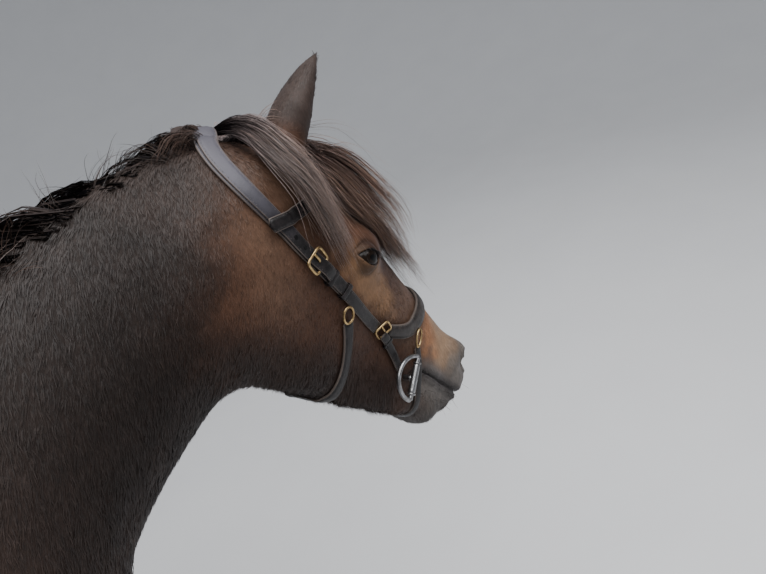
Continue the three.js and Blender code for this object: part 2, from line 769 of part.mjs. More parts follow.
for (const [name, side] of Object.entries(SIDES))
  for (const [kind, leg] of Object.entries(LIMBS)) {
    const [x, y] = leg.rows(40);
    const foot = vec(x + swung(leg, side, 40), side * y, 0);
    const coronet = { at: vec(foot.x, 0, CORONET.height), out: CORONET.out };
    const rings = LEG_HEIGHTS.map((z) => legRing(leg, side, z));
    add(`${kind}leg_${name}`, outer(outer(loft(rings), coronet), LEG_CUT), LEG_COAT);
    add(`hoof_${kind}_${name}`, inner(hoof(foot), coronet), HORN);
  }

// Ears: a leaf rolled into a cup, in rows of [share of its length, half width, half depth, half of
// the opening in degrees]. The right one is pricked, the left one turned out to the side.
const EAR_SHAPE = through([
  [0, 24, 25, 20],
  [0.2, 27, 27, 28],
  [0.4, 33, 25, 48],
  [0.6, 31, 20, 60],
  [0.8, 20, 13, 66],
  [0.93, 9, 7, 70],
  [1, 2.5, 2.5, 74],
]);
const EAR_RINGS = [0, 0.12, 0.25, 0.38, 0.52, 0.66, 0.8, 0.92, 1];
const EAR = { sink: 20, thick: 4.5, sides: 8, bend: 9, hair: 4 };
const EARS = {
  right: { root: onHead(34, -3, -51), tip: onHead(12, -129, -52), open: vec(0.5, -0.25, -0.866) },
  left: { root: onHead(30, 4, 54), tip: onHead(-2, -50, 168), open: vec(-0.35, -0.1, -0.9) },
};

function earRings({ root, tip, open: facing }, ringAt) {
  const axis = tip.clone().sub(root).normalize();
  const start = root.clone().addScaledVector(axis, -EAR.sink);
  const long = tip.distanceTo(start);
  const open = facing.clone().addScaledVector(axis, -facing.dot(axis)).normalize();
  const across = axis.clone().cross(open);
  return EAR_RINGS.map((t) => {
    const bow = EAR.bend * t * t - 3 * Math.sin(Math.PI * t);
    const centre = start.clone().addScaledVector(axis, t * long).addScaledVector(open, bow);
    return ringAt(t, centre, open, across);
  });
}

function ear(way) {
  const rings = earRings(way, (t, centre, open, across) => {
    const [wide, deep, gap] = EAR_SHAPE(t);
    const arc = (shrink) =>
      Array.from({ length: EAR.sides }, (_, i) => {
        const angle = mix(radians(gap), TURN - radians(gap), i / (EAR.sides - 1));
        return centre
          .clone()
          .addScaledVector(open, Math.cos(angle) * Math.max(deep - shrink, deep * 0.3))
          .addScaledVector(across, Math.sin(angle) * Math.max(wide - shrink, wide * 0.3));
      });
    return [...arc(0), ...arc(EAR.thick * (1 - 0.5 * t)).reverse()];
  });
  return eitherWay(rings).subtract(headGrown).subtract(neckGrown);
}

// The room that an ear takes among the hair round it.
function earRoom(way) {
  const rings = earRings(way, (t, centre, open, across) => {
    const [wide, deep] = EAR_SHAPE(t).map((size) => size + EAR.hair);
    return ovalRing(centre, open.clone().multiplyScalar(deep), across.clone().multiplyScalar(wide), 8);
  });
  return eitherWay(rings);
}

for (const [name, way] of Object.entries(EARS)) add(`ear_${name}`, ear(way), COAT);

// Mane: a ridge of standing roots along the crest, and locks that fall down the left of the neck,
// longest behind the poll. from and to are where it starts and ends along x.
const MANE = { from: 590, to: 30, locks: 10, long: 500, short: 290, wide: 108, thick: 20, height: 12 };
const RIDGE = { rings: 12, sides: 6, half: 24, high: 20 };

function crestPoint(x) {
  let [low, high] = [1000, 1620];
  for (let n = 0; n < 20; n += 1) {
    const half = (low + high) / 2;
    if (flesh(x, 0, half) < 0) low = half;
    else high = half;
  }
  return vec(x, 0, low);
}

function mane() {
  const last = RIDGE.rings - 1;
  const ridge = Array.from({ length: RIDGE.rings }, (_, i) => {
    const p = crestPoint(mix(MANE.from, MANE.to, i / last));
    const size = Math.min(1, 0.3 + Math.min(i, last - i) * 0.24);
    const out = outward(p).multiplyScalar(RIDGE.high * size);
    return ovalRing(p.clone().addScaledVector(out, 0.3), vec(0, RIDGE.half * size, 0), out, RIDGE.sides);
  });
  let made = eitherWay(ridge);
  for (let i = 0; i < MANE.locks; i += 1) {
    const share = i / (MANE.locks - 1);
    const root = crestPoint(mix(MANE.from - 14, MANE.to + 20, share)).add(vec(0, -10, 9));
    const heading = vec(-0.1 + 0.2 * scatter(), 1, 0.25);
    const long = mix(MANE.long, MANE.short, share) * (1 + 0.1 * scatter());
    const { path, facing } = drape(root, heading, long, MANE.height + 8 * (i % 3), 0.18);
    made = made.add(lock(path, facing, MANE.wide * (1 + 0.15 * scatter()), MANE.thick));
  }
  return made.subtract(neckGrown).subtract(headGrown).subtract(torsoGrown);
}

add("mane", mane(), HAIR);

// Tail: the dock in rows of [x, z, radius], and the locks that hang round it.
const DOCK = [
  [-1072, 1188, 22],
  [-1112, 1188, 32],
  [-1152, 1152, 34],
  [-1184, 1080, 30],
  [-1200, 990, 24],
  [-1206, 900, 16],
];
const TAIL = { locks: 12, wide: 104, thick: 34, half: 112, deep: 56, x: -1236, low: 185, fan: 0.618 };

function tail() {
  const rings = DOCK.map(([x, z, r], i) => {
    const a = DOCK[Math.max(i - 1, 0)];
    const b = DOCK[Math.min(i + 1, DOCK.length - 1)];
    const out = vec(b[0] - a[0], 0, b[1] - a[1]).cross(vec(0, 1, 0)).setLength(r);
    return ovalRing(vec(x, 0, z), vec(0, r * 1.25, 0), out, 8);
  });
  let made = eitherWay(rings);
  for (let i = 0; i < TAIL.locks; i += 1) {
    const angle = (i / TAIL.locks) * TURN;
    const [side, out] = [Math.cos(angle), Math.sin(angle)];
    const layer = i % 2 ? 1 : 0.62;
    const chance = (i * TAIL.fan) % 1;
    const down = i % 2 ? 0.12 + 0.3 * chance : 0.5 + 0.5 * chance;
    const root = vec(mix(-1116, -1196, down), side * 10, mix(1180, 1000, down));
    const y = side * TAIL.half * layer;
    const x = TAIL.x + out * TAIL.deep * layer;
    const low = TAIL.low + 90 * Math.abs(scatter()) + 80 * Math.abs(side);
    const path = [
      root,
      vec(mix(root.x, x, 0.55), y * 0.5, root.z - 60),
      vec(x, y * 0.85, root.z - 200),
      vec(x - 4, y, 680),
      vec(x + 8, y * 0.95, mix(680, low, 0.5)),
      vec(x + 20, y * 0.7, low),
    ];
    const facing = path.map(() => vec(out, side, 0.1));
    made = made.add(lock(path, facing, TAIL.wide * (1 + 0.2 * scatter()), TAIL.thick));
  }
  return made.subtract(torsoGrown);
}

add("tail", tail(), HAIR);

// Forelock: from between the ears over the forehead, most of it falling to the right, with one
// lock that arches from behind the poll past the right ear. The arch is in the head's own frame.
const FORELOCK = { locks: 7, long: 290, wide: 50, thick: 18, low: 20, high: 50, arch: 40, archThick: 11 };
const ARCH = [
  [-4, 4, -12],
  [-12, -8, -34],
  [-6, 10, -68],
  [8, 30, -94],
  [36, 40, -108],
  [70, 46, -114],
  [108, 60, -112],
  [150, 78, -100],
];

function forelock() {
  let made = ball(
    onHead(16, 2, -2),
    FACE.clone().multiplyScalar(32),
    THROAT.clone().multiplyScalar(18),
    vec(0, 26, 0),
    [10, 6],
  );
  for (let i = 0; i < FORELOCK.locks; i += 1) {
    const root = onHead(14 + 6 * scatter(), -4, -14 + i * 4.2);
    const heading = FACE.clone().add(vec(0, -0.3 + 0.11 * i + 0.08 * scatter(), 0));
    const long = FORELOCK.long + 35 * scatter() - i * 8;
    const { path, facing } = drape(root, heading, long, i % 2 ? FORELOCK.high : FORELOCK.low, 0.02);
    made = made.add(lock(path, facing, FORELOCK.wide + 8 * scatter(), FORELOCK.thick));
  }
  const over = ARCH.map((p) => onHead(...p));
  made = made.add(lock(over, over.map(outward), FORELOCK.arch, FORELOCK.archThick));
  for (const way of Object.values(EARS)) made = made.subtract(earRoom(way));
  return made.subtract(headGrown).subtract(neckGrown);
}

add("forelock", forelock(), HAIR);

// Bridle straps: points in the head's frame as [u, v, distance from the middle], from one side
// over or under the head to the other, and each with its width and thickness.
const bell = (t, middle, reach) => Math.exp(-(((t - middle) / reach) ** 2));
const across = (rows) => [
  ...rows.map(([u, v, y]) => onHead(u, v, -y)),
  ...rows.filter(([, , y]) => y > 1).reverse().map(([u, v, y]) => onHead(u, v, y)),
];
const OVER_POLL = across([
  [107, 109, 95],
  [80, 106, 95],
  [52, 100, 93],
  [22, 93, 86],
  [-5, 83, 74],
  [-30, 66, 54],
  [-40, 46, 30],
  [-33, 28, 0],
]);
const OVER_BROW = across([
  [36, 118, 90],
  [45, 106, 92],
  [56, 92, 95],
  [68, 72, 94],
  [78, 44, 86],
  [84, 12, 60],
  [88, -7, 28],
  [88, -13, 0],
]);
const OVER_NOSE = across([
  [310, 112, 66],
  [326, 104, 68],
  [345, 88, 66],
  [362, 62, 58],
  [376, 38, 46],
  [386, 16, 22],
  [388, 10, 0],
]);
const UNDER_JAW = across([
  [204, 143, 80],
  [228, 165, 74],
  [246, 191, 68],
  [256, 217, 58],
  [260, 236, 42],
  [256, 250, 20],
  [256, 252, 0],
]);
const UNDER_CHIN = across([
  [386, 104, 60],
  [404, 121, 58],
  [414, 138, 56],
  [426, 156, 52],
  [444, 176, 36],
  [458, 192, 14],
  [460, 194, 0],
]);
const CHEEKPIECE = [
  [112, 110, 94],
  [133, 113, 93],
  [171, 117, 91],
  [221, 122, 84],
  [280, 124, 70],
];
const BIT_STRAP = [
  [296, 127, 66],
  [315, 131, 62],
  [338, 138, 59],
  [350, 145, 57],
];

const crownWidth = (t) => 19 + 8 * bell(t, 0.5, 0.3);
const crownHeight = (t) => 2 + 3 * bell(t, 0.5, 0.2) + 7 * bell(t, 0.5, 0.06);
const overHeadpiece = (t) => 2.5 + 7 * THREE.MathUtils.clamp(1.9 - Math.min(t, 1 - t) / 0.08, 0, 1);

add("headpiece", strap(OVER_POLL, crownWidth, 5, crownHeight), LEATHER);
add("noseband", strap(OVER_NOSE, (t) => 22 + 10 * Math.sin(Math.PI * t), 6, () => 3), LEATHER);
add("browband", strap(OVER_BROW, () => 17, 4, overHeadpiece), LEATHER);
add("jaw_strap", strap(UNDER_JAW, () => 18, 4.5), LEATHER);
add("chin_strap", strap(UNDER_CHIN, () => 13, 3.5, (t) => 3.5 + 5 * bell(t, 0.5, 0.25)), LEATHER);

// A keeper: a short band of leather round a strap, over two points of it.
function keeper(a, b, width) {
  return strap([a, b], () => width, 7.5, () => 1.2);
}

// An oval link lying over the cheek, its long way turned in the plane of the cheek.
function link({ u, v, long, wide, turn, height }, side) {
  const middle = lay(onHead(u, v, side * 80), height);
  const a = FACE.clone().multiplyScalar(Math.cos(radians(turn)));
  a.addScaledVector(THROAT, Math.sin(radians(turn))).setLength(long);
  const b = vec(0, 1, 0).cross(a).setLength(wide);
  return rod(ovalRing(middle, a, b, 10), 2, 5);
}

const LINKS = {
  cheek_buckle: { u: 109, v: 110, long: 13, wide: 14, turn: 0, height: 11 },
  bit_buckle: { u: 288, v: 125, long: 11, wide: 12, turn: 0, height: 12 },
  jaw_ring: { u: 187, v: 136, long: 14, wide: 9, turn: 40, height: 12 },
  chin_ring: { u: 374, v: 96, long: 15, wide: 9, turn: 60, height: 12 },
};

// Dee ring with a barrel at the lips.
function bitRing(side) {
  const down = FACE.clone().multiplyScalar(Math.cos(BIT.turn)).addScaledVector(THROAT, Math.sin(BIT.turn));
  const rear = vec(0, 1, 0).cross(down);
  if (rear.z < 0) rear.negate();
  const middle = onHead(BIT.u, BIT.v, side * BIT.y);
  const spot = (along, out) => middle.clone().addScaledVector(down, along).addScaledVector(rear, out);
  const bow = Array.from({ length: 11 }, (_, i) => {
    const angle = (i / 10 - 0.5) * Math.PI;
    return spot(BIT.half * Math.sin(angle), BIT.bulge * Math.cos(angle));
  });
  const straight = [0.5, 0, -0.5].map((share) => spot(BIT.half * share, 0));
  const barrel = [-0.72, 0.72].map((share) => spot(BIT.half * share, 0));
  return rod([...bow, ...straight], BIT.wire).add(rod(barrel, BIT.barrel, 8, false));
}

for (const [name, side] of Object.entries(SIDES)) {
  const on = (rows) => rows.map(([u, v, y]) => onHead(u, v, side * y));
  const cheek = on(CHEEKPIECE);
  const loops = [[138, 113, 92], [144, 114, 92], [164, 116, 91], [170, 117, 91]];
  const [a, b, c, d] = on(loops);
  const cheekpiece = strap(cheek, () => 18, 4.5).add(keeper(a, b, 24)).add(keeper(c, d, 24));
  add(`cheekpiece_${name}`, cheekpiece, LEATHER);
  add(`bit_strap_${name}`, strap(on(BIT_STRAP), () => 14, 4), LEATHER);
  for (const [part, place] of Object.entries(LINKS)) add(`${part}_${name}`, link(place, side), BRASS);
  add(`bit_ring_${name}`, bitRing(side), STEEL);
}
add("bit_mouthpiece", mouthpiece(BIT.bar, BIT.y - BIT.barrel - 0.4), STEEL);

// The origin goes to the middle of the whole outline, on the floor.
const outline = new THREE.Box3().setFromObject(horse);
const middle = outline.getCenter(vec(0, 0, 0));
horse.position.set(-middle.x, -middle.y, -outline.min.z);

export default horse;
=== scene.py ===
"""Looks of a life-size Icelandic horse in a leather bridle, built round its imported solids."""
import contextlib
import json
import math
from collections import namedtuple

import bpy
import numpy as np
from mathutils import Matrix, Vector
from mathutils.bvhtree import BVHTree

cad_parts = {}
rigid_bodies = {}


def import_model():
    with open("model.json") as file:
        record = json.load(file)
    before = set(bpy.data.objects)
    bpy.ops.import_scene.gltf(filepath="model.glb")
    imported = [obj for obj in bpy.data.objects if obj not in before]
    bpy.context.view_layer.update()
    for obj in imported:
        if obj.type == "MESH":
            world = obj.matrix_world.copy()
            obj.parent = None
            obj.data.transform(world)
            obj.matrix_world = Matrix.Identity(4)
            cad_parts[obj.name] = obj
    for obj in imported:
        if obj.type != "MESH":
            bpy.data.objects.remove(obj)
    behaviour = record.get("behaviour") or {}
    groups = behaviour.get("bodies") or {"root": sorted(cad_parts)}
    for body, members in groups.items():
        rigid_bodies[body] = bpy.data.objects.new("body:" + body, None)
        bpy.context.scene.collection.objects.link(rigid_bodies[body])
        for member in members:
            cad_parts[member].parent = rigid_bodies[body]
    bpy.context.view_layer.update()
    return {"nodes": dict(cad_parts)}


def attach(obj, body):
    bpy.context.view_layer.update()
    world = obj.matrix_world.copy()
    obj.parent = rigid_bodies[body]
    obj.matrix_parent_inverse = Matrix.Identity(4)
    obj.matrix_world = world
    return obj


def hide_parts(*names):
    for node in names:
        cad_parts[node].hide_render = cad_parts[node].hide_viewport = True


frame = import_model()
chance = np.random.default_rng(11)

# The head's own frame: u runs down the face from the poll, v from the face to the throat, and
# y is the distance from the middle. Metres, as everywhere here.
POLL = np.array([0.8763, 0.0, 1.49])
FACE_DROP = math.radians(60)
FACE = np.array([math.cos(FACE_DROP), 0, -math.sin(FACE_DROP)])
THROAT = np.array([-math.sin(FACE_DROP), 0, -math.cos(FACE_DROP)])
ACROSS = np.array([0.0, 1.0, 0.0])
SIDES = {"right": -1, "left": 1}
TURN = 2 * math.pi

# Vertices nearer than this are one
WELD = 1e-5
# Shares of the way to their neighbours' middle by which places move there and back, in turns
THERE, BACK = 0.5, -0.52

# Sizes of the skin: its mesh, and how deep the coat lies over it on body, head and legs
SKIN_VOXEL = 0.0115
SLIVER = 3e-4
COAT_DEPTH = {"body": 0.006, "head": 0.0025, "leg": 0.0025}


def on_head(u, v, y):
    """The place of head coordinates in the room."""
    return POLL + np.multiply.outer(u, FACE) + np.multiply.outer(v, THROAT) + np.multiply.outer(y, ACROSS)


def head_uvy(points):
    """Head coordinates of places in the room."""
    d = points - POLL
    return d @ FACE, d @ THROAT, d[..., 1]


def step(x, low, high):
    """Smooth rise from 0 at low to 1 at high, which may also be the lower of the two."""
    t = np.clip((x - low) / (high - low), 0, 1)
    return t * t * (3 - 2 * t)


def bell(x, middle, reach):
    """Smooth bump that is 1 at the middle."""
    return np.exp(-(((x - middle) / reach) ** 2))


def unit(v):
    """Vectors at length 1."""
    return v / np.maximum(np.linalg.norm(v, axis=-1, keepdims=True), 1e-9)


# Mesh helpers
def deselect():
    bpy.ops.object.select_all(action="DESELECT")


def pick(*objects):
    """Selects objects alone, the last of them active."""
    deselect()
    for o in objects:
        o.select_set(True)
    bpy.context.view_layer.objects.active = objects[-1]
    return objects[-1]


def read(items, key, size, kind=float):
    """A property of many parts of a mesh, as rows of an array."""
    values = np.empty(len(items) * size, dtype=kind)
    items.foreach_get(key, values)
    return values.reshape(-1, size)


def points_of(obj):
    return read(obj.data.vertices, "co", 3)


def normals_of(obj):
    return read(obj.data.vertices, "normal", 3)


def edges_of(obj):
    return read(obj.data.edges, "vertices", 2, np.int64)


def move_points(obj, co):
    obj.data.vertices.foreach_set("co", np.asarray(co, dtype=np.float32).ravel())
    obj.data.update()


@contextlib.contextmanager
def editing(obj):
    """Edit mode, with the whole of one object selected."""
    pick(obj)
    bpy.ops.object.mode_set(mode="EDIT")
    bpy.ops.mesh.select_all(action="SELECT")
    yield
    bpy.ops.object.mode_set(mode="OBJECT")


def joined(name, parts):
    """One piece from parts."""
    whole = pick(*parts)
    if len(parts) > 1:
        bpy.ops.object.join()
    whole.name = whole.data.name = name
    return whole


def merged_copy(names, name):
    """One object from merged copies of CAD nodes."""
    copies = []
    for node in names:
        twin = frame["nodes"][node].copy()
        twin.data = twin.data.copy()
        bpy.context.scene.collection.objects.link(twin)
        copies.append(twin)
    whole = joined(name, copies)
    bpy.ops.object.parent_clear(type="CLEAR_KEEP_TRANSFORM")
    with editing(whole):
        bpy.ops.mesh.remove_doubles(threshold=WELD)
    whole.data.materials.clear()
    return whole


def smoothed(co, edges, rounds, weight=1.0):
    """Places evened out over their neighbours, with little loss of volume."""
    a, b = edges.T
    count = np.bincount(edges.ravel(), minlength=len(co))[:, None]
    weight = np.broadcast_to(np.asarray(weight, dtype=float), len(co))[:, None]
    for n in range(2 * rounds):
        sums = [np.bincount(a, co[b, k], len(co)) + np.bincount(b, co[a, k], len(co)) for k in range(3)]
        co = co + (np.stack(sums, axis=1) / np.maximum(count, 1) - co) * weight * (BACK if n % 2 else THERE)
    return co


def refine(obj, near):
    """Halves the faces whose middles a test accepts."""
    chosen = near(read(obj.data.polygons, "center", 3))
    with editing(obj):
        bpy.ops.mesh.select_mode(type="FACE")
        bpy.ops.mesh.select_all(action="DESELECT")
    obj.data.polygons.foreach_set("select", chosen)
    bpy.ops.object.mode_set(mode="EDIT")
    bpy.ops.mesh.subdivide(number_cuts=1, quadcorner="INNERVERT")
    bpy.ops.object.mode_set(mode="OBJECT")


def apply_all(obj):
    """Applies an object's modifiers."""
    pick(obj)
    for m in list(obj.modifiers):
        bpy.ops.object.modifier_apply(modifier=m.name)


# Camera: where it stood by the horse's poll, and the way it looked
CAMERA = {
    "from_poll": (-0.429, -0.549, 0.083),
    "ahead": (0.647, 0.623, -0.440),
    "right": (0.531, -0.782, -0.326),
    "sensor": 36,
    "lens": 26.32,
}

deselect()
ahead = Vector(CAMERA["ahead"]).normalized()
right = Vector(CAMERA["right"])
right = (right - ahead * right.dot(ahead)).normalized()
turn = Matrix((right, right.cross(ahead), -ahead)).transposed().to_4x4()
bpy.ops.object.camera_add()
camera = bpy.context.object
camera.matrix_world = Matrix.Translation(Vector(POLL) + Vector(CAMERA["from_poll"])) @ turn
camera.data.sensor_width = CAMERA["sensor"]
camera.data.lens = CAMERA["lens"]
camera.data.clip_start = 0.02
bpy.context.scene.camera = camera

# Skin: one closed surface from the nodes of flesh, with the eyes filled in first
FLESH = ["torso", "neck", "head", "foreleg_right", "foreleg_left", "hindleg_right", "hindleg_left"]
EYES = ["eye_right", "eye_left"]

# Ears: a leaf rolled into a cup, in rows of [share of its length, half width, half depth, half of
# the opening in degrees], its root, tip and open side in head coordinates
EAR_ROWS = np.array(
    [
        [0, 0.0225, 0.0235, 18],
        [0.2, 0.0255, 0.0255, 26],
        [0.4, 0.0315, 0.0235, 46],
        [0.6, 0.029, 0.0185, 60],
        [0.8, 0.0185, 0.012, 66],
        [0.93, 0.0085, 0.006, 70],
        [1, 0.0016, 0.0016, 74],
    ]
)
EAR_THICK = 0.0032
EAR_SINK = 0.02
EAR_BURIED = 0.13
EARS = {
    "right": {"root": (0.034, -0.003, -0.051), "tip": (0.012, -0.127, -0.052), "open": (0.5, -0.25, -0.866)},
    "left": {"root": (0.030, 0.004, 0.054), "tip": (-0.002, -0.048, 0.165), "open": (-0.35, -0.1, -0.9)},
}
EYE = {"u": 0.185, "v": 0.062, "y": 0.081, "radius": 0.0205, "long": 0.0200, "upper": 0.0122, "lower": 0.0094}
EYE_TILT = math.radians(-18)
# The lids' edge lies at 1 from the eye's middle, and the vertices from LID_IN to LID_OUT are drawn to LID_RIM
LID_IN, LID_RIM, LID_OUT = 0.86, 1.03, 1.18
LID_THICK = 0.0022
NOSTRIL = {"u": 0.553, "v": 0.066, "y": 0.047, "long": 0.019, "high": 0.008, "deep": 0.02}
MOUTH_U = [0.386, 0.408, 0.430, 0.480, 0.540, 0.620]
MOUTH_V = [0.151, 0.136, 0.130, 0.126, 0.122, 0.116]


def head_share(points):
    """1 on the head and 0 on the neck and body."""
    u, v, _ = head_uvy(points)
    return step(u, -0.05, 0.03) * (1 - step(v, 0.235, 0.30)) * (points[..., 0] > 0.6)


def leg_share(points):
    """1 on the legs below elbow and stifle."""
    return 1 - step(points[..., 2], 0.52, 0.72)


def coat_depth(points):
    head, leg = head_share(points), leg_share(points)
    body = 1 - np.maximum(head, leg)
    return COAT_DEPTH["body"] * body + COAT_DEPTH["head"] * head + COAT_DEPTH["leg"] * leg * (1 - head)


def ear_frame(ear):
    """Start, long axis, length, open side and width axis of an ear."""
    root, tip = (on_head(*ear[k]) for k in ("root", "tip"))
    axis = unit(tip - root)
    start = root - EAR_SINK * axis
    facing = np.array(ear["open"])
    facing = unit(facing - facing @ axis * axis)
    return start, axis, np.linalg.norm(tip - start), facing, np.cross(axis, facing)


def make_ear(name):
    deselect()
    bpy.ops.mesh.primitive_grid_add(x_subdivisions=26, y_subdivisions=30, size=2)
    ear = bpy.context.object
    ear.name = f"ear_form_{name}"
    grid = points_of(ear)
    start, axis, long, facing, across = ear_frame(EARS[name])
    t = -EAR_BURIED + (1 + EAR_BURIED) * (grid[:, 1] + 1) / 2
    wide, deep, gap = (np.interp(t, EAR_ROWS[:, 0], EAR_ROWS[:, k]) for k in (1, 2, 3))
    gap = np.radians(gap)
    angle = gap + (TURN - 2 * gap) * (grid[:, 0] + 1) / 2
    bow = 0.009 * t**2 - 0.003 * np.sin(np.pi * np.maximum(t, 0))
    centre = start + np.outer(t * long, axis) + np.outer(bow, facing)
    co = centre + np.outer(np.cos(angle) * deep, facing) + np.outer(np.sin(angle) * wide, across)
    move_points(ear, smoothed(co, edges_of(ear), 3))
    wall = ear.modifiers.new("wall", "SOLIDIFY")
    wall.thickness = EAR_THICK
    wall.offset = -1
    apply_all(ear)
    with editing(ear):
        bpy.ops.mesh.remove_doubles(threshold=WELD)
        bpy.ops.mesh.normals_make_consistent(inside=False)
    return ear


def on_ear(points, ear, low, high):
    """How much places lie on an ear, rising from low to high along it, and the way along it."""
    start, axis, *_ = ear_frame(ear)
    along = (points - start) @ axis
    off = np.linalg.norm(points - start - np.outer(along, axis), axis=1)
    return step(along, low, high) * (1 - step(off, 0.045, 0.06)), axis


def ear_root_share(points, reach=0.03):
    """How near places are to the root of either ear."""
    shares = []
    for ear in EARS.values():
        start, axis, *_ = ear_frame(ear)
        shares.append(bell(np.linalg.norm(points - (start + axis * 0.024), axis=1), 0, reach))
    return np.maximum(*shares)


def eye_frame(side):
    """Centre, long axis, upward axis and outward axis of an eye."""
    c, s = math.cos(EYE_TILT), math.sin(EYE_TILT)
    long = np.array([FACE[0] * c + FACE[2] * s, 0, FACE[2] * c - FACE[0] * s])
    up = np.array([-long[2], 0, long[0]])
    return on_head(EYE["u"], EYE["v"], side * EYE["y"]), long, up, np.array([0.0, side, 0.0])


def gap_to(points, frame_of):
    """Distance from the middle of an eye or a nostril, the nearer of the two."""
    return np.minimum(*(np.linalg.norm(points - frame_of(side)[0], axis=1) for side in (-1, 1)))


def shape_lids(co, side):
    """Draws the skin over the eyeball and opens an almond between the lids."""
    centre, long, up, out = eye_frame(side)
    d = co - centre
    a, b, o = d @ long, d @ up, d @ out
    near = (o > -0.004) & (np.hypot(a, b) < 0.045)
    high = np.where(b > 0, EYE["upper"], EYE["lower"])
    wide2 = (a / EYE["long"]) ** 2
    m = wide2 + np.abs(b) / high
    rim = near & (m > LID_IN) & (m < LID_OUT)
    q = np.abs(b) / high
    scale = (-q + np.sqrt(q**2 + 4 * LID_RIM * wide2)) / np.maximum(2 * wide2, 1e-9)
    scale = np.where(wide2 < 1e-6, LID_RIM / np.maximum(q, 1e-6), scale)
    a, b = np.where(rim, a * scale, a), np.where(rim, b * scale, b)
    m = np.where(rim, LID_RIM, m)
    r2 = a**2 + b**2
    ball = np.sqrt(np.maximum(EYE["radius"] ** 2 - r2, 0))
    lid = np.sqrt(np.maximum((EYE["radius"] + LID_THICK) ** 2 - r2, 0))
    draw = 1 - step(m, 1.25, 2.9)
    crease = np.where(b > 0, -0.0012 * bell(m, 1.75, 0.2), 0)
    crease = crease + np.where(b < 0, -0.0010 * bell(m, 1.6, 0.16), 0)
    over = o + np.maximum(lid - o, -0.001) * draw + crease
    o = np.where(near, np.where(m < 1, ball - 0.005, over), o)
    return np.where(near[:, None], centre + np.outer(a, long) + np.outer(b, up) + np.outer(o, out), co)


def nostril_frame(side):
    long = unit(FACE * 0.97 + THROAT * 0.25)
    return on_head(NOSTRIL["u"], NOSTRIL["v"], side * NOSTRIL["y"]), long


def shape_nostril(co, side):
    """Presses a comma-shaped nostril into the muzzle, with a raised rim."""
    centre, long = nostril_frame(side)
    d = co - centre
    a = d @ long
    b = d @ np.cross(long, ACROSS) - 0.3 * a**2 / NOSTRIL["long"]
    near = (np.linalg.norm(d, axis=1) < 0.045) & (d[:, 1] * side > -0.03)
    high = NOSTRIL["high"] * (1 + 0.5 * a / NOSTRIL["long"])
    e = np.sqrt((a / NOSTRIL["long"]) ** 2 + (b / high) ** 2)
    dent = -NOSTRIL["deep"] * step(e, 1.05, 0.35) + 0.0035 * bell(e, 1.4, 0.35)
    inward = unit(np.array([0.0, side, 0.0]) + 0.25 * FACE)
    return co + np.where(near, dent, 0)[:, None] * inward


def mouth_gap(points):
    """Distance from the line between the lips, and how much of it lies on the muzzle."""
    u, v, _ = head_uvy(points)
    return v - np.interp(u, MOUTH_U, MOUTH_V), step(u, 0.388, 0.404) * (head_share(points) > 0.5)


def shape_mouth(co, normals):
    """Presses the line between the lips, wider towards the front, with a roll along either side."""
    gap, on = mouth_gap(co)
    front = step(head_uvy(co)[0], 0.45, 0.55)
    fold = -0.006 * bell(gap, 0.001 * front, 0.0018 + 0.0014 * front)
    fold = fold + 0.0018 * (bell(gap, -0.0085, 0.005) + bell(gap, 0.009, 0.005))
    return co + normals * (fold * on)[:, None]


# Groove behind the bone of each foreleg's cannon, the right leg's a little further ahead
CANNON = {"x": 0.268, "ahead": 0.012, "wide": 0.008, "z": 0.27, "reach": 0.09}


def shape_bones(co, normals):
    """Hollows over the eyes, the edge of the cheek, and the channel between the jaws."""
    u, v, y = head_uvy(co)
    head = head_share(co)
    out = -0.005 * bell(u, 0.135, 0.022) * bell(v, 0.028, 0.016) * bell(np.abs(y), 0.07, 0.03)
    out += 0.0025 * bell(u - 1.6 * (v - 0.09), 0.27, 0.05) * bell(v, 0.094, 0.010) * bell(u, 0.27, 0.07)
    out -= 0.0035 * bell(u, 0.27, 0.06) * bell(v, 0.122, 0.014)
    out -= 0.012 * bell(y, 0, 0.016) * step(v, 0.12, 0.17) * bell(u, 0.28, 0.12)
    out += 0.0045 * bell(u, 0.507, 0.028) * bell(v, 0.184, 0.022)
    out += 0.0040 * bell(np.hypot(u - EYE["u"], v - EYE["v"]), 0, 0.032) * step(np.abs(y), 0.05, 0.07)
    x, z = co[:, 0], co[:, 2]
    hollow = bell(z, CANNON["z"], CANNON["reach"]) * step(leg_share(co), 0.9, 1)
    groove_x = CANNON["x"] - np.sign(co[:, 1]) * CANNON["ahead"]
    groove = np.where(x > 0, bell(x - groove_x, 0, CANNON["wide"]), 0)
    croup = bell(np.abs(co[:, 1]), 0.195, 0.055) * step(z, 1.10, 1.20) * (1 - step(x, -0.42, -0.28))
    return co + normals * (out * head - 0.002 * hollow * groove - 0.020 * croup)[:, None]


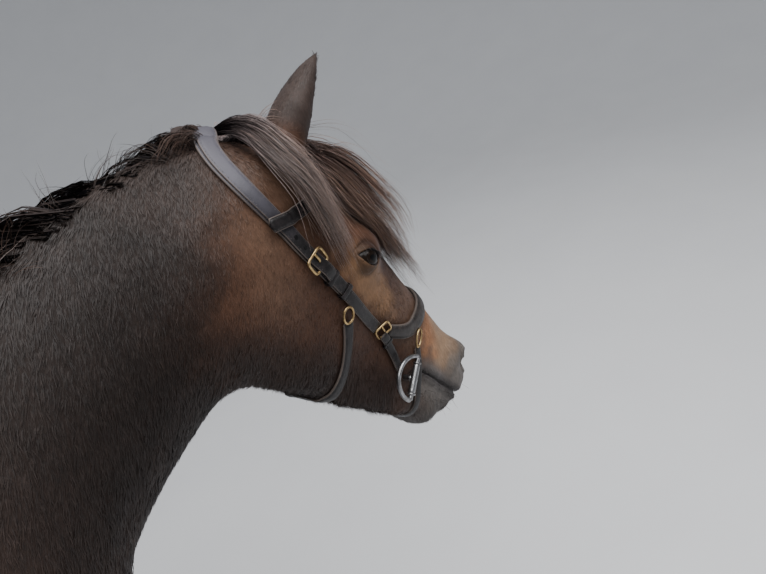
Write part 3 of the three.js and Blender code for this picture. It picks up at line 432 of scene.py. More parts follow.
def make_skin():
    skin = merged_copy(FLESH + EYES + ["bit_mouthpiece"], "skin")
    skin.data.remesh_voxel_size = SKIN_VOXEL
    bpy.ops.object.voxel_remesh()
    co = smoothed(points_of(skin), edges_of(skin), 24)
    move_points(skin, co)
    move_points(skin, co - normals_of(skin) * coat_depth(co)[:, None])
    for name in EARS:
        ear = make_ear(name)
        join = skin.modifiers.new("join", "BOOLEAN")
        join.object = ear
        join.operation = "UNION"
        join.solver = "EXACT"
        apply_all(skin)
        bpy.data.objects.remove(ear)
    with editing(skin):
        bpy.ops.mesh.quads_convert_to_tris()
        bpy.ops.mesh.remove_doubles(threshold=SLIVER)
        bpy.ops.mesh.fill_holes(sides=0)
        bpy.ops.uv.smart_project(angle_limit=math.radians(66), island_margin=0.002)
    skin.data.uv_layers[0].name = "OFBake"

    def eyes_near(c, reach):
        return gap_to(c, eye_frame) < reach

    def mouth_near(c, reach):
        gap, on = mouth_gap(c)
        return (np.abs(gap) < reach) & (on > 0)

    def muzzle(c):
        return (head_share(c) > 0.5) & (head_uvy(c)[0] > 0.43)

    refine(skin, lambda c: (head_share(c) > 0.2) & (ear_root_share(c, 0.05) < 0.75))
    co = points_of(skin)
    root = ear_root_share(co)
    move_points(skin, smoothed(co, edges_of(skin), 14, np.maximum(head_share(co) * (root < 0.2), root)))
    refine(skin, lambda c: muzzle(c) | eyes_near(c, 0.06))
    co = points_of(skin)
    move_points(skin, smoothed(co, edges_of(skin), 5, muzzle(co) | eyes_near(co, 0.06)))
    refine(skin, lambda c: eyes_near(c, 0.036) | (gap_to(c, nostril_frame) < 0.030) | mouth_near(c, 0.006))
    co = points_of(skin)
    move_points(skin, shape_bones(co, normals_of(skin)))
    move_points(skin, shape_mouth(points_of(skin), normals_of(skin)))
    for side in (-1, 1):
        move_points(skin, shape_nostril(points_of(skin), side))
        move_points(skin, shape_lids(points_of(skin), side))
    with editing(skin):
        bpy.ops.mesh.quads_convert_to_tris()
    bpy.ops.object.shade_smooth()
    return skin


skin = make_skin()


# Shader maths
class Wire:
    """A shader socket that takes part in Python arithmetic."""

    def __init__(self, finish, socket):
        self.finish = finish
        self.socket = socket

    def __add__(self, other):
        return self.finish.maths("ADD", self, other)

    def __mul__(self, other):
        return self.finish.maths("MULTIPLY", self, other)

    __radd__ = __add__
    __rmul__ = __mul__


class Finish:
    """One material and the nodes that make it."""

    def __init__(self, name):
        self.material = bpy.data.materials.new(name)
        self.material.use_nodes = True
        self.tree = self.material.node_tree
        self.tree.nodes.clear()

    def node(self, kind, settings=None, *values, out=0, **named):
        """Adds a node: its settings first, then the values or links of its sockets."""
        made = self.tree.nodes.new(kind)
        for key, value in (settings or {}).items():
            setattr(made, key, value)
        for key, value in list(enumerate(values)) + [(k.replace("_", " "), v) for k, v in named.items()]:
            self.feed(made.inputs[key], value)
        return Wire(self, made.outputs[out])

    def feed(self, socket, value):
        """Links or sets a socket, whose colour is given as three numbers."""
        if isinstance(value, Wire):
            self.tree.links.new(value.socket, socket)
        elif value is not None:
            socket.default_value = (*value, 1) if socket.type == "RGBA" else value

    def maths(self, operation, *values):
        return self.node("ShaderNodeMath", {"operation": operation}, *values)

    def vector(self, operation, *values, **named):
        return self.node("ShaderNodeVectorMath", {"operation": operation}, *values, **named)

    def place(self, scale=(1, 1, 1), turn=(0, 0, 0)):
        """Object coordinates, turned and scaled."""
        where = self.node("ShaderNodeTexCoord", out=3)
        return self.node("ShaderNodeMapping", None, where, Rotation=turn, Scale=scale)

    def noise(self, where, scale, detail=3.0, roughness=0.5):
        return self.node(
            "ShaderNodeTexNoise", None, Vector=where, Scale=scale, Detail=detail, Roughness=roughness
        )

    def range(self, value, low, high, to_low=0.0, to_high=1.0):
        return self.node("ShaderNodeMapRange", None, value, low, high, to_low, to_high)

    def mix(self, share, a, b):
        """Mixes two colours, which are the node's sockets 6 and 7."""
        mixed = self.node("ShaderNodeMix", {"data_type": "RGBA"}, share, out=2)
        for index, colour in ((6, a), (7, b)):
            self.feed(mixed.socket.node.inputs[index], colour)
        return mixed

    def bump(self, height, strength, distance, normal=None):
        return self.node(
            "ShaderNodeBump", None, Strength=strength, Distance=distance, Height=height, Normal=normal
        )

    def close(self, **sockets):
        """Ends the material in one Principled surface."""
        surface = self.node("ShaderNodeBsdfPrincipled", None, **sockets)
        end = self.tree.nodes.new("ShaderNodeOutputMaterial")
        self.feed(end.inputs[0], surface)
        return self.material


# Markings, with painted shade in the grooves behind and under the jaw: one set of colours by place, for the
# skin and for every tuft and strand on it
TINTS = {
    "body": (0.036, 0.020, 0.014),
    "neck": (0.026, 0.017, 0.014),
    "cheek": (0.058, 0.027, 0.016),
    "dark": (0.009, 0.006, 0.005),
    "warm": (0.108, 0.060, 0.038),
    "tan": (0.190, 0.104, 0.054),
    "nose": (0.270, 0.125, 0.058),
    "beige": (0.235, 0.155, 0.096),
    "grey": (0.100, 0.087, 0.078),
    "lips": (0.042, 0.037, 0.036),
    "ear": (0.038, 0.026, 0.022),
    "flank": (0.085, 0.048, 0.030),
    "points": (0.013, 0.011, 0.010),
}


# Warm patches round the ear's root and on the jowl: strength, then middle and reach along u and v
WARM_PATCHES = [
    (0.75, (0.080, 0.045), (0.160, 0.036)),
    (0.9, (0.040, 0.040), (0.120, 0.028)),
    (0.9, (0.040, 0.050), (0.060, 0.030)),
]


def blotch(points, size, seed=0.0):
    """Soft uneven pattern between about -1 and 1, with patches of a size."""
    p = points * (TURN / size)
    x, y, z = p[:, 0] + seed, p[:, 1] + 1.7 * seed, p[:, 2] - seed
    wave = np.sin(x + 0.8 * np.sin(1.3 * z + seed)) * np.cos(1.1 * y + 0.6 * np.sin(0.9 * x))
    return 0.6 * wave + 0.4 * np.sin(1.7 * z + 0.9 * np.sin(1.6 * y + x))


def markings_and_shade(points):
    """Colour of the coat at places on the skin, with painted shade in the groove behind the jaw, along its
    underside and in the crease to the neck.
    """
    u, v, y = head_uvy(points)
    y = np.abs(y)
    x, z = points[:, 0], points[:, 2]
    head, leg = head_share(points), leg_share(points)
    uneven = blotch(points, 0.05)
    colour = np.tile(np.array(TINTS["body"]), (len(points), 1))

    def lay(tint, share):
        colour[:] += (np.array(TINTS[tint]) - colour) * np.clip(share, 0, 1)[:, None]

    lay("neck", step(x, 0.28, 0.50) * step(z, 0.95, 1.15))
    lay("flank", bell(x, -0.30, 0.16) * bell(z, 0.86, 0.12) + 0.8 * bell(x, 0.30, 0.10) * bell(z, 0.80, 0.08))
    lay("flank", 0.7 * (1 - step(z, 0.72, 0.84)) * (1 - step(np.abs(points[:, 1]), 0.13, 0.24)))
    lay("cheek", head)
    for strength, along, across in WARM_PATCHES:
        lay("warm", strength * bell(u, *along) * bell(v, *across))
    # Painted shadow: the groove behind the jaw, darkened
    behind_jaw_shadow = step(v, 0.140, 0.185) * (1 - step(u, 0.004, 0.034)) * step(x, 0.42, 0.55) * step(z, 0.9, 1.0)
    lay("dark", 0.62 * behind_jaw_shadow)
    lay("tan", head * 0.95 * step(bell(u, 0.225, 0.085) * bell(v, 0.080, 0.032) + 0.1 * uneven, 0.2, 0.75))
    lay("warm", head * step(u, 0.26, 0.34) * (1 - step(v, 0.10, 0.13)) * 0.9)
    lay("nose", head * step(u, 0.365, 0.42) * (1 - step(v + 0.02 * uneven, 0.085, 0.115)))
    lay("beige", head * 0.85 * step(u - 0.5 * v + 0.006 * uneven, 0.385, 0.435) * (1 - step(v, 0.10, 0.125)))
    lay("grey", head * step(u + 0.25 * v + 0.008 * uneven, 0.490, 0.550))
    lay("grey", head * step(u, 0.40, 0.45) * step(v, 0.096, 0.122) * (1 - 0.5 * step(v, 0.15, 0.17)))
    lay("lips", head * bell(v - np.interp(u, MOUTH_U, MOUTH_V), 0, 0.012) * step(u, 0.385, 0.41))
    # Painted shade along the underside of the jaw
    lay("dark", head * 0.7 * step(v + 0.25 * u, 0.205, 0.26) * (1 - step(u, 0.36, 0.43)))
    lay("lips", head * 0.4 * step(v, 0.155, 0.185) * step(u, 0.41, 0.45))
    lay("dark", 0.75 * (1 - step(gap_to(points, eye_frame), 0.019, 0.030)))
    # Painted shadow in the crease between the jowl and the neck
    lay("dark", 0.6 * (1 - head) * bell(u, 0.05, 0.10) * bell(v, 0.27, 0.09) * (x > 0.5))
    for ear in EARS.values():
        lay("ear", on_ear(points, ear, 0.022, 0.045)[0])
    lay("points", leg * (1 - 0.4 * step(z, 0.45, 0.7)))
    return colour * (1 + 0.16 * uneven[:, None])


def coat_length(points):
    """Length of the short coat: shorter on face, ears and round the eyes, longer on belly and fetlocks."""
    u, v, _ = head_uvy(points)
    head, leg = head_share(points), leg_share(points)
    z = points[:, 2]
    long = 0.0135 - 0.0045 * leg + 0.010 * (1 - step(z, 0.74, 0.86)) * (1 - leg)
    long = long - 0.0015 * step(points[:, 0], 0.28, 0.5) * (1 - leg)
    face = 0.0062 + 0.0025 * step(v, 0.10, 0.20) + 0.006 * step(v + 0.25 * u, 0.24, 0.29)
    face = face - 0.0030 * step(u, 0.38, 0.48)
    ear = step(u - v, 0.095, 0.06) * step(v, 0.0, -0.03)
    face = face * (0.35 + 0.65 * step(gap_to(points, eye_frame), 0.02, 0.06)) * (1 - 0.4 * ear)
    long = long + (face - long) * head
    return long + 0.018 * bell(z, 0.155, 0.035) * leg


def coat_lie(points, normals):
    """Which way the coat lies along the skin."""
    _, v, _ = head_uvy(points)
    head, leg = head_share(points)[:, None], leg_share(points)[:, None]
    x, z = points[:, 0:1], points[:, 2:3]
    way = np.tile(np.array([-0.85, 0.0, -0.45]), (len(points), 1))
    neck = step(x, 0.30, 0.50) * step(z, 0.95, 1.15)
    way += (np.array([-0.50, 0, -0.85]) - way) * neck
    way += (np.array([-0.05, 0, -1.0]) - way) * np.maximum(leg, bell(x, 0.52, 0.1) * (1 - neck))
    down = step(v, 0.02, 0.12)[:, None]
    way += (unit(FACE * (1 - 0.55 * down) + THROAT * 0.85 * down) - way) * head
    for ear in EARS.values():
        share, axis = on_ear(points, ear, 0.02, 0.04)
        way += (axis - way) * share[:, None]
    calm = 1 - 0.65 * (1 - step(points[:, 0], 0.35, 0.55))
    swirl = calm * (0.28 * blotch(points, 0.030, 2.0) + 0.18 * blotch(points, 0.011, 5.0))
    way = unit(way - np.sum(way * normals, axis=1, keepdims=True) * normals)
    return way * np.cos(swirl)[:, None] + np.cross(normals, way) * np.sin(swirl)[:, None]


# Surface of the skin as triangles, for roots and for what lies on it
class Surface:
    """The skin's triangles, their normals, and its unwrap."""

    def __init__(self, obj):
        mesh = obj.data
        mesh.calc_loop_triangles()
        self.co = points_of(obj)
        self.normal = normals_of(obj)
        self.tri = read(mesh.loop_triangles, "vertices", 3, np.int64)
        loops = read(mesh.loop_triangles, "loops", 3, np.int64)
        self.uv = read(mesh.uv_layers["OFBake"].data, "uv", 2)[loops]
        corner = self.co[self.tri]
        twice = np.cross(corner[:, 1] - corner[:, 0], corner[:, 2] - corner[:, 0])
        self.area = np.linalg.norm(twice, axis=1) / 2
        self.middle = corner.mean(axis=1)
        self.tree = BVHTree.FromPolygons(self.co.tolist(), self.tri.tolist())

    def roots(self, density):
        """Random places at a density given for each triangle, with normals and unwrap."""
        share = self.area * density
        count = int(share.sum())
        chosen = chance.choice(len(share), count, p=share / share.sum())
        a, b = chance.random((2, count))
        flip = a + b > 1
        a, b = np.where(flip, 1 - a, a), np.where(flip, 1 - b, b)
        weight = np.stack([1 - a - b, a, b], axis=1)[:, :, None]
        tri = self.tri[chosen]
        place = (self.co[tri] * weight).sum(axis=1)
        normal = unit((self.normal[tri] * weight).sum(axis=1))
        return place, normal, (self.uv[chosen] * weight).sum(axis=1)

    def nearest(self, point):
        """Nearest place on the skin, its outward normal, the distance outside it and its triangle."""
        place, _, index, _ = self.tree.find_nearest(point)
        normal = Vector(self.normal[self.tri[index]].mean(axis=0)).normalized()
        return np.array(place), np.array(normal), (Vector(point) - place).dot(normal), index


def paint(mesh, colour):
    """Stores the vertices' colours as the attribute that the finishes read."""
    rows = np.hstack([colour, np.ones((len(colour), 1))])
    layer = mesh.attributes.new("shade", "FLOAT_COLOR", "POINT")
    layer.data.foreach_set("color", rows.astype(np.float32).ravel())


def make_mesh(name, co, faces):
    """A mesh object from arrays of places and triangles."""
    mesh = bpy.data.meshes.new(name)
    mesh.vertices.add(len(co))
    mesh.vertices.foreach_set("co", co.astype(np.float32).ravel())
    mesh.loops.add(faces.size)
    mesh.loops.foreach_set("vertex_index", faces.astype(np.int32).ravel())
    mesh.polygons.add(len(faces))
    mesh.polygons.foreach_set("loop_start", np.arange(0, faces.size, 3, dtype=np.int32))
    mesh.polygons.foreach_set("loop_total", np.full(len(faces), 3, dtype=np.int32))
    mesh.update(calc_edges=True)
    mesh.polygons.foreach_set("use_smooth", np.ones(len(faces), dtype=bool))
    obj = bpy.data.objects.new(name, mesh)
    bpy.context.scene.collection.objects.link(obj)
    return obj


def make_coat(name, co, faces, colour, uv, normals):
    """A mesh of tufts or hair, with its colours, its patches of the skin's unwrap and its normals."""
    obj = make_mesh(name, co, faces)
    paint(obj.data, colour)
    corners = uv[faces.ravel()].astype(np.float32).ravel()
    obj.data.uv_layers.new(name="OFBake").data.foreach_set("uv", corners)
    obj.data.normals_split_custom_set_from_vertices(normals.tolist())
    return obj


# Half the side of a tuft's patch on the unwrap
PATCH = 0.0015
# How much more a tuft faces the way of the skin than its own way
SOFT = 1.6
# Tufts wider than this, away from the face, vary less in tone
WIDE_TUFT = 0.0014
# A tuft: two corners at the root, two half way and the tip, with its triangles, its light along it (darker at
# the root as painted shade among the hairs, lighter at the tip) and patch
TUFT_SINK = 0.0006
TUFT_FACES = np.array([[0, 3, 1], [0, 2, 3], [2, 4, 3]])
TUFT_ROOT_SHADE = np.array([0.78, 0.78, 1.0, 1.0, 1.15])
TUFT_PATCH = np.array([[-1, -1], [1, -1], [-1, 0], [1, 0], [0, 1]]) * PATCH


def make_tufts(name, density, width, lift):
    """Thin tapered tufts that lie along the skin."""
    place, normal, uv = surface.roots(density)
    count = len(place)
    way = coat_lie(place, normal)
    long = coat_length(place) * chance.uniform(0.65, 1.3, count)
    rise = np.abs(lift * chance.normal(1, 0.45, count))
    roll = chance.normal(0, 0.35, count)[:, None]
    across = np.cross(normal, way)
    across = across * np.cos(roll) + normal * np.sin(roll)
    way = unit(way + across * chance.normal(0, 0.10, count)[:, None])
    half = (width * chance.uniform(0.7, 1.3, count) / 2)[:, None]
    reach = long[:, None]
    base = place - normal * TUFT_SINK
    mid = base + way * reach * 0.5 + normal * reach * (0.62 * rise)[:, None]
    tip = base + way * reach + normal * reach * (0.8 * rise)[:, None]
    corners = [base - across * half, base + across * half]
    corners += [mid - across * half * 0.8, mid + across * half * 0.8, tip]
    co = np.stack(corners, axis=1)
    vary = 0.11 if width < WIDE_TUFT else 0.05
    tone = chance.normal(1, vary, (count, 1)) + chance.normal(0, 0.03, (count, 1)) * np.array([1, 0.2, -0.6])
    own = markings_and_shade(place) * np.clip(tone, 0.4, 1.8)
    colour = own[:, None, :] * TUFT_ROOT_SHADE[None, :, None]
    spread = uv[:, None, :] + TUFT_PATCH[None]
    faces = (np.arange(count) * 5)[:, None, None] + TUFT_FACES[None]
    facing = unit(normal * SOFT + np.cross(way, across))
    parts = (co.reshape(-1, 3), faces.reshape(-1, 3), colour.reshape(-1, 3), spread.reshape(-1, 2))
    return make_coat(name, *parts, np.repeat(facing, 5, axis=0))


surface = Surface(skin)
paint(skin.data, markings_and_shade(surface.co))


# Curves and swept forms
def curve(points, count):
    """A smooth curve through points, resampled evenly."""
    p = np.array(points, dtype=float)
    p = np.vstack([2 * p[0] - p[1], p, 2 * p[-1] - p[-2]])
    t = np.linspace(0, len(p) - 3, 16 * len(p))
    i = np.minimum(t.astype(int), len(p) - 4)
    f = (t - i)[:, None]
    a, b, c, d = (p[i + k] for k in range(4))
    fine = 2 * b + (c - a) * f + (2 * a - 5 * b + 4 * c - d) * f**2 + (3 * b - a - 3 * c + d) * f**3
    fine = fine / 2
    along = np.concatenate([[0], np.cumsum(np.linalg.norm(np.diff(fine, axis=0), axis=1))])
    return at_shares(fine, along / along[-1], np.linspace(0, 1, count))


def at_shares(line, shares, wanted):
    """Values of a line, known at some shares of its length, at other shares."""
    return np.stack([np.interp(wanted, shares, line[:, k]) for k in range(line.shape[1])], axis=1)


def along_line(line, t):
    return at_shares(line, np.linspace(0, 1, len(line)), t)


def smooth_line(line, rounds):
    for _ in range(rounds):
        line = line.copy()
        line[1:-1] = (line[:-2] + 2 * line[1:-1] + line[2:]) / 4
    return line


def tangents(line):
    return unit(np.gradient(line, axis=0))


def grid_form(name, rows, columns):
    """A flat grid to be laid in shape: its object, and each vertex's place in 0 to 1 both ways."""
    deselect()
    bpy.ops.mesh.primitive_grid_add(x_subdivisions=columns, y_subdivisions=rows, size=2)
    form = bpy.context.object
    form.name = form.data.name = name
    co = points_of(form)
    return form, (co[:, 1] + 1) / 2, (co[:, 0] + 1) / 2


def close_seams(obj):
    """Welds the seam and poles of a rolled grid and turns its faces outwards."""
    with editing(obj):
        bpy.ops.mesh.remove_doubles(threshold=WELD)
        bpy.ops.mesh.normals_make_consistent(inside=False)
    bpy.ops.object.shade_smooth()


def round_ends(t, blunt):
    """1 along a form and falling to 0 in a quarter circle at both ends."""
    near = np.clip(np.minimum(t, 1 - t) / blunt, 0, 1)
    return np.sqrt(np.clip(1 - (1 - near) ** 2, 0, 1))


def swept(name, line, radius, around=12, blunt=0.1):
    """A round rod along a line, with rounded ends."""
    rod, t, turn = grid_form(name, 3 * len(line), around)
    toward = tangents(line)
    side = [unit(np.cross(toward[0], np.array([0.31, 0.77, 0.55])))]
    for way in toward[1:]:
        side.append(unit(side[-1] - side[-1] @ way * way))
    toward = unit(along_line(toward, t))
    side = unit(along_line(np.array(side), t))
    angle = (TURN * turn)[:, None]
    out = side * np.cos(angle) + np.cross(toward, side) * np.sin(angle)
    move_points(rod, along_line(line, t) + out * (radius * round_ends(t, blunt))[:, None])
    close_seams(rod)
    return rod


def ring(name, centre, along, across, long, wide, wire, square=2.0):
    """A closed ring of round wire, from an oval at 2 towards a rectangle at 6."""
    deselect()
    bpy.ops.mesh.primitive_torus_add(
        major_segments=56, minor_segments=12, major_radius=1, minor_radius=wire / 2
    )
    hoop = bpy.context.object
    hoop.name = hoop.data.name = name
    co = points_of(hoop)
    angle = np.arctan2(co[:, 1], co[:, 0])
    out = np.hypot(co[:, 0], co[:, 1]) - 1
    c, s = np.cos(angle), np.sin(angle)
    reach = (np.abs(c) ** square + np.abs(s) ** square) ** (-1 / square)
    place = np.outer(c * (reach * long + out), along) + np.outer(s * (reach * wide + out), across)
    move_points(hoop, centre + place + np.outer(co[:, 2], np.cross(along, across)))
    close_seams(hoop)
    return hoop


def repeated(name, form, places, ways, ups):
    """One piece of many copies of a small form, whose long side is X and whose top is Z."""
    base = points_of(form)
    form.data.calc_loop_triangles()
    tri = read(form.data.loop_triangles, "vertices", 3, np.int64)
    turn = np.stack([ways, np.cross(ups, ways), ups], axis=2)
    co = np.einsum("nij,vj->nvi", turn, base) + places[:, None, :]
    faces = (np.arange(len(places)) * len(base))[:, None, None] + tri[None]
    bpy.data.objects.remove(form)
    return make_mesh(name, co.reshape(-1, 3), faces.reshape(-1, 3))


# Bridle: leather straps laid over the coat, in head coordinates in millimetres, each place
# [u, v, y]. The height is that of the leather's underside over the skin.
OVER_POLL = [(107, 109, 95), (80, 106, 95), (52, 100, 93), (22, 93, 86), (-5, 83, 74), (-30, 66, 54)]
OVER_POLL += [(-40, 46, 30), (-33, 28, 0)]
TO_POLL = [(178, 117, 91), (150, 114, 92.5), (122, 111, 95)] + OVER_POLL[:-1] + [(-38, 38, 21)]
OVER_BROW = [(31, 112, 90), (41, 99, 92), (52, 85, 95), (64, 66, 94), (75, 41, 86), (84, 12, 60)]
OVER_BROW += [(88, -7, 28), (88, -13, 0)]
OVER_NOSE = [(299, 117, 66), (322, 108, 68), (349, 90, 65), (370, 63, 56), (383, 38, 44), (390, 16, 22)]
OVER_NOSE += [(388, 10, 0)]
UNDER_JAW = [(204, 143, 80), (228, 165, 74), (246, 191, 68), (256, 217, 58), (260, 236, 42), (256, 250, 20)]
UNDER_JAW += [(256, 252, 0)]
UNDER_CHIN = [(386, 104, 60), (404, 121, 58), (414, 138, 56), (426, 156, 52), (444, 176, 36), (458, 192, 14)]
UNDER_CHIN += [(460, 194, 0)]
DOWN_CHEEK = [(96, 110, 95), (112, 110, 94), (133, 113, 93), (171, 117, 91), (221, 122, 84), (280, 124, 70)]
TO_BIT = [(290, 125, 67), (315, 129, 62), (338, 135, 59), (356, 143, 58), (374, 152, 62)]


def even(size):
    """A size that stays the same along a strap."""
    return lambda t: size + 0 * t


def strap_facts(path, width, thick, height, pad, both=True, rise=even(0), arch=0.0):
    """A strap's facts. It rises near its ends over what lies under it, and arches over the middle."""
    facts = {"path": path, "width": width, "thick": thick, "height": height, "pad": pad, "both": both}
    return {**facts, "rise": rise, "arch": arch}


STRAPS = {
    "headpiece": strap_facts(OVER_POLL, lambda t: 18 + 8 * bell(t, 0.5, 0.30), 3.2, 2.0, 1.4, arch=10),
    "crown_strap": strap_facts(
        TO_POLL, lambda t: 16 + 4 * step(t, 0.5, 0.95), 2.6, 6.0, 0.8, False,
        lambda t: 4.6 * bell(t, 0.194, 0.052) + 2.0 * step(t, 0.85, 1.0),
    ),
    "browband": strap_facts(
        OVER_BROW, lambda t: 16.5 + 2 * bell(t, 0.5, 0.2), 3.0, 2.2, 1.0, True,
        lambda t: 8.6 * step(t, 0.115, 0.065),
    ),
    "noseband": strap_facts(OVER_NOSE, lambda t: 21 + 11 * np.sin(np.pi * t), 3.4, 2.0, 2.4),
    "jaw_strap": strap_facts(
        UNDER_JAW, lambda t: 17 + 6 * bell(t, 0.5, 0.14), 3.2, 2.0, 1.2, True,
        lambda t: 5 * step(t, 0.36, 0.47),
    ),
    "chin_strap": strap_facts(UNDER_CHIN, even(12.5), 3.0, 2.8, 0.4),
    "cheekpiece": strap_facts(DOWN_CHEEK, even(17), 3.2, 2.4, 0.5, False),
    "bit_strap": strap_facts(TO_BIT, even(13.5), 2.8, 3.0, 0.4, False, lambda t: 5 * step(t, 0.32, 0.16)),
}
STRAP_STEP = 0.0035
STRAP_END = 0.0035
# How far a strap's underside stays clear of the skin, and half the length of the arch over the poll
STRAP_CLEAR = 0.0016
ARCH_REACH = 0.045
STITCH = {"long": 0.0028, "gap": 0.0042, "wide": 0.0010, "inset": 0.0026}
# Outline of a strap's cross-section: share of the half width, share of the thickness, and share
# of the padding
EDGE = [(1.0, 0.5, 0.0), (0.99, 0.78, 0.0), (0.95, 0.96, 0.0), (0.88, 1.0, 0.06), (0.80, 0.97, 0.10)]
EDGE += [(0.72, 1.02, 0.30), (0.60, 1.05, 0.72), (0.40, 1.06, 0.93), (0.0, 1.06, 1.0)]
EDGE += [(-s, h, p) for s, h, p in EDGE[-2::-1]]
EDGE += [(-0.99, 0.22, 0.0), (-0.95, 0.03, 0.0), (-0.5, 0.0, 0.0), (0.0, 0.0, 0.0), (0.5, 0.0, 0.0)]
EDGE += [(0.95, 0.03, 0.0), (0.99, 0.22, 0.0), (1.0, 0.5, 0.0)]
EDGE = np.array(EDGE)
strap_cover = []


def strap_line(facts, side):
    """Middle line of a strap on the skin, with its outward normals and ways across."""
    line = [(u, v, y * side) for u, v, y in facts["path"]]
    if facts["both"]:
        line = line + [(u, v, -y) for u, v, y in line[-2::-1]]
    line = [on_head(*(np.array(p) / 1000)) for p in line]
    long = np.linalg.norm(np.diff(line, axis=0), axis=1).sum()
    line = curve(line, int(long / STRAP_STEP))
    found = [surface.nearest(point)[:2] for point in line]
    normals = unit(smooth_line(np.array([n for _, n in found]), 12))
    over = facts["height"] + facts["arch"] * bell(np.linspace(0, 1, len(line)), 0.5, ARCH_REACH)
    places = smooth_line(np.array([p for p, _ in found]), 8) + normals * (over / 1000)[:, None]
    return places, normals, unit(np.cross(normals, tangents(places))), long


def strap_axes(line, normals, at):
    """Outward ways of a strap at shares of its length, its ways along, and ways out square to those."""
    outs = unit(along_line(normals, at))
    ways = unit(along_line(tangents(line), at))
    return outs, ways, unit(outs - np.sum(outs * ways, axis=1, keepdims=True) * ways)


def make_stitches(line, normals, at, inset, thick):
    """Two rows of stitches on top of a strap."""
    outs, ways, ups = strap_axes(line, normals, at)
    places = along_line(line, at) + outs * thick
    deselect()
    bpy.ops.mesh.primitive_uv_sphere_add(segments=5, ring_count=3, radius=1)
    bead = bpy.context.object
    shape = np.array([STITCH["long"] / 2, STITCH["wide"] / 2, STITCH["wide"] * 0.6])
    move_points(bead, points_of(bead) * shape)
    rows = np.vstack([places - inset, places + inset])
    return repeated("strap_stitches", bead, rows, np.vstack([ways, ways]), np.vstack([ups, ups]))


def make_strap(name, facts, side=1):
    """A strap with a padded middle and rolled edges, and its two rows of stitches."""
    line, normals, across, long = strap_line(facts, side)
    shares = np.linspace(0, 1, len(line))
    wide = facts["width"](shares) / 2000
    rise = facts["rise"](np.minimum(shares, 1 - shares) if facts["both"] else shares) / 1000
    line = line + normals * rise[:, None]
    clear = []
    for s in (-0.95, -0.5, 0, 0.5, 0.95):
        off = line + across * (wide * s)[:, None]
        gap = np.array([surface.nearest(p)[2] for p in off])
        clear.append(smooth_line(np.maximum(STRAP_CLEAR - gap, 0)[:, None], 6)[:, 0])
    line = line + normals * np.max(clear, axis=0)[:, None]
    strap_cover.append((line, wide, facts["height"]))
    piece, t, turn = grid_form(name, len(line) - 1, len(EDGE) - 1)
    profile = EDGE[np.rint(turn * (len(EDGE) - 1)).astype(int)]
    ends = round_ends(t, STRAP_END / long)
    thick, pad = facts["thick"] / 1000, facts["pad"] / 1000
    up = profile[:, 1] * thick + profile[:, 2] * pad
    up = thick / 2 + (up - thick / 2) * ends
    out, over = unit(along_line(normals, t)), unit(along_line(across, t))
    sideways = profile[:, 0] * np.interp(t, shares, wide) * (0.82 + 0.18 * ends) * (ends > 0)
    move_points(piece, along_line(line, t) + over * sideways[:, None] + out * up[:, None])
    edge = piece.data.attributes.new("edge", "FLOAT", "POINT")
    edge.data.foreach_set("value", step(np.abs(profile[:, 0]), 0.84, 0.97).astype(np.float32))
    close_seams(piece)
    where = np.linspace(0.01, 0.99, int(long / STITCH["gap"]))
    inset = (np.interp(where, shares, wide) - STITCH["inset"])[:, None] * unit(along_line(across, where))
    return piece, make_stitches(line, normals, where, inset, thick), (line, normals, wide)


KEEPER_WALL = 0.0020
KEEPER_LONG = 0.0075
KEEPER_ROOM = {"beside": 0.0018, "above": 0.0010}
# Shares of a strap's length where a keeper goes round it, and the thickness of leather in the keeper
KEEPERS = {"crown_strap": ((), 0), "cheekpiece": ((0.24, 0.40), 0.0072), "bit_strap": ((0.30,), 0.0036)}


def make_keeper(line, normals, wide, share, thick):
    """A short band round a strap at a share of its length."""
    at = np.array([share])
    middle, out = along_line(line, at)[0], unit(along_line(normals, at)[0])
    way = unit(along_line(tangents(line), at)[0])
    over = np.cross(way, out)
    half = np.interp(share, np.linspace(0, 1, len(wide)), wide) + KEEPER_ROOM["beside"]
    high = thick / 2 + KEEPER_ROOM["above"]
    loop = ring("keeper", middle + out * thick / 2, over, out, half, high, KEEPER_WALL, 6.0)
    co = points_of(loop)
    off = (co - middle) @ way
    move_points(loop, co + np.outer(off * (KEEPER_LONG / KEEPER_WALL - 1), way))
    return loop


CHEEK_Y = 0.08


def cheek_frame(u, v, side, height, turn):
    """Place over the cheek with its long, cross and outward axes."""
    place, normal, *_ = surface.nearest(on_head(u / 1000, v / 1000, side * CHEEK_Y))
    normal = unit(normal)
    way = FACE * math.cos(turn) + THROAT * math.sin(turn)
    way = unit(way - way @ normal * normal)
    return place + normal * height / 1000, way, np.cross(normal, way), normal


LINKS = {
    "cheek_buckle": {"u": 107, "v": 109, "long": 10.5, "wide": 13.5, "turn": 12, "height": 8.4, "wire": 3.8},
    "bit_buckle": {"u": 289, "v": 126, "long": 9.5, "wide": 12, "turn": 14, "height": 7.4, "wire": 3.4},
    "jaw_ring": {"u": 195, "v": 137, "long": 11, "wide": 8.5, "turn": 40, "height": 7.0, "wire": 3.2},
    "chin_ring": {"u": 381, "v": 93, "long": 14, "wide": 7, "turn": 72, "height": 7.5, "wire": 3.2},
}
BIT = {"u": 0.388, "v": 0.154, "y": 0.069, "half": 0.033, "bulge": 0.039, "wire": 0.0034, "barrel": 0.0054}
BIT_TURN = math.radians(80)


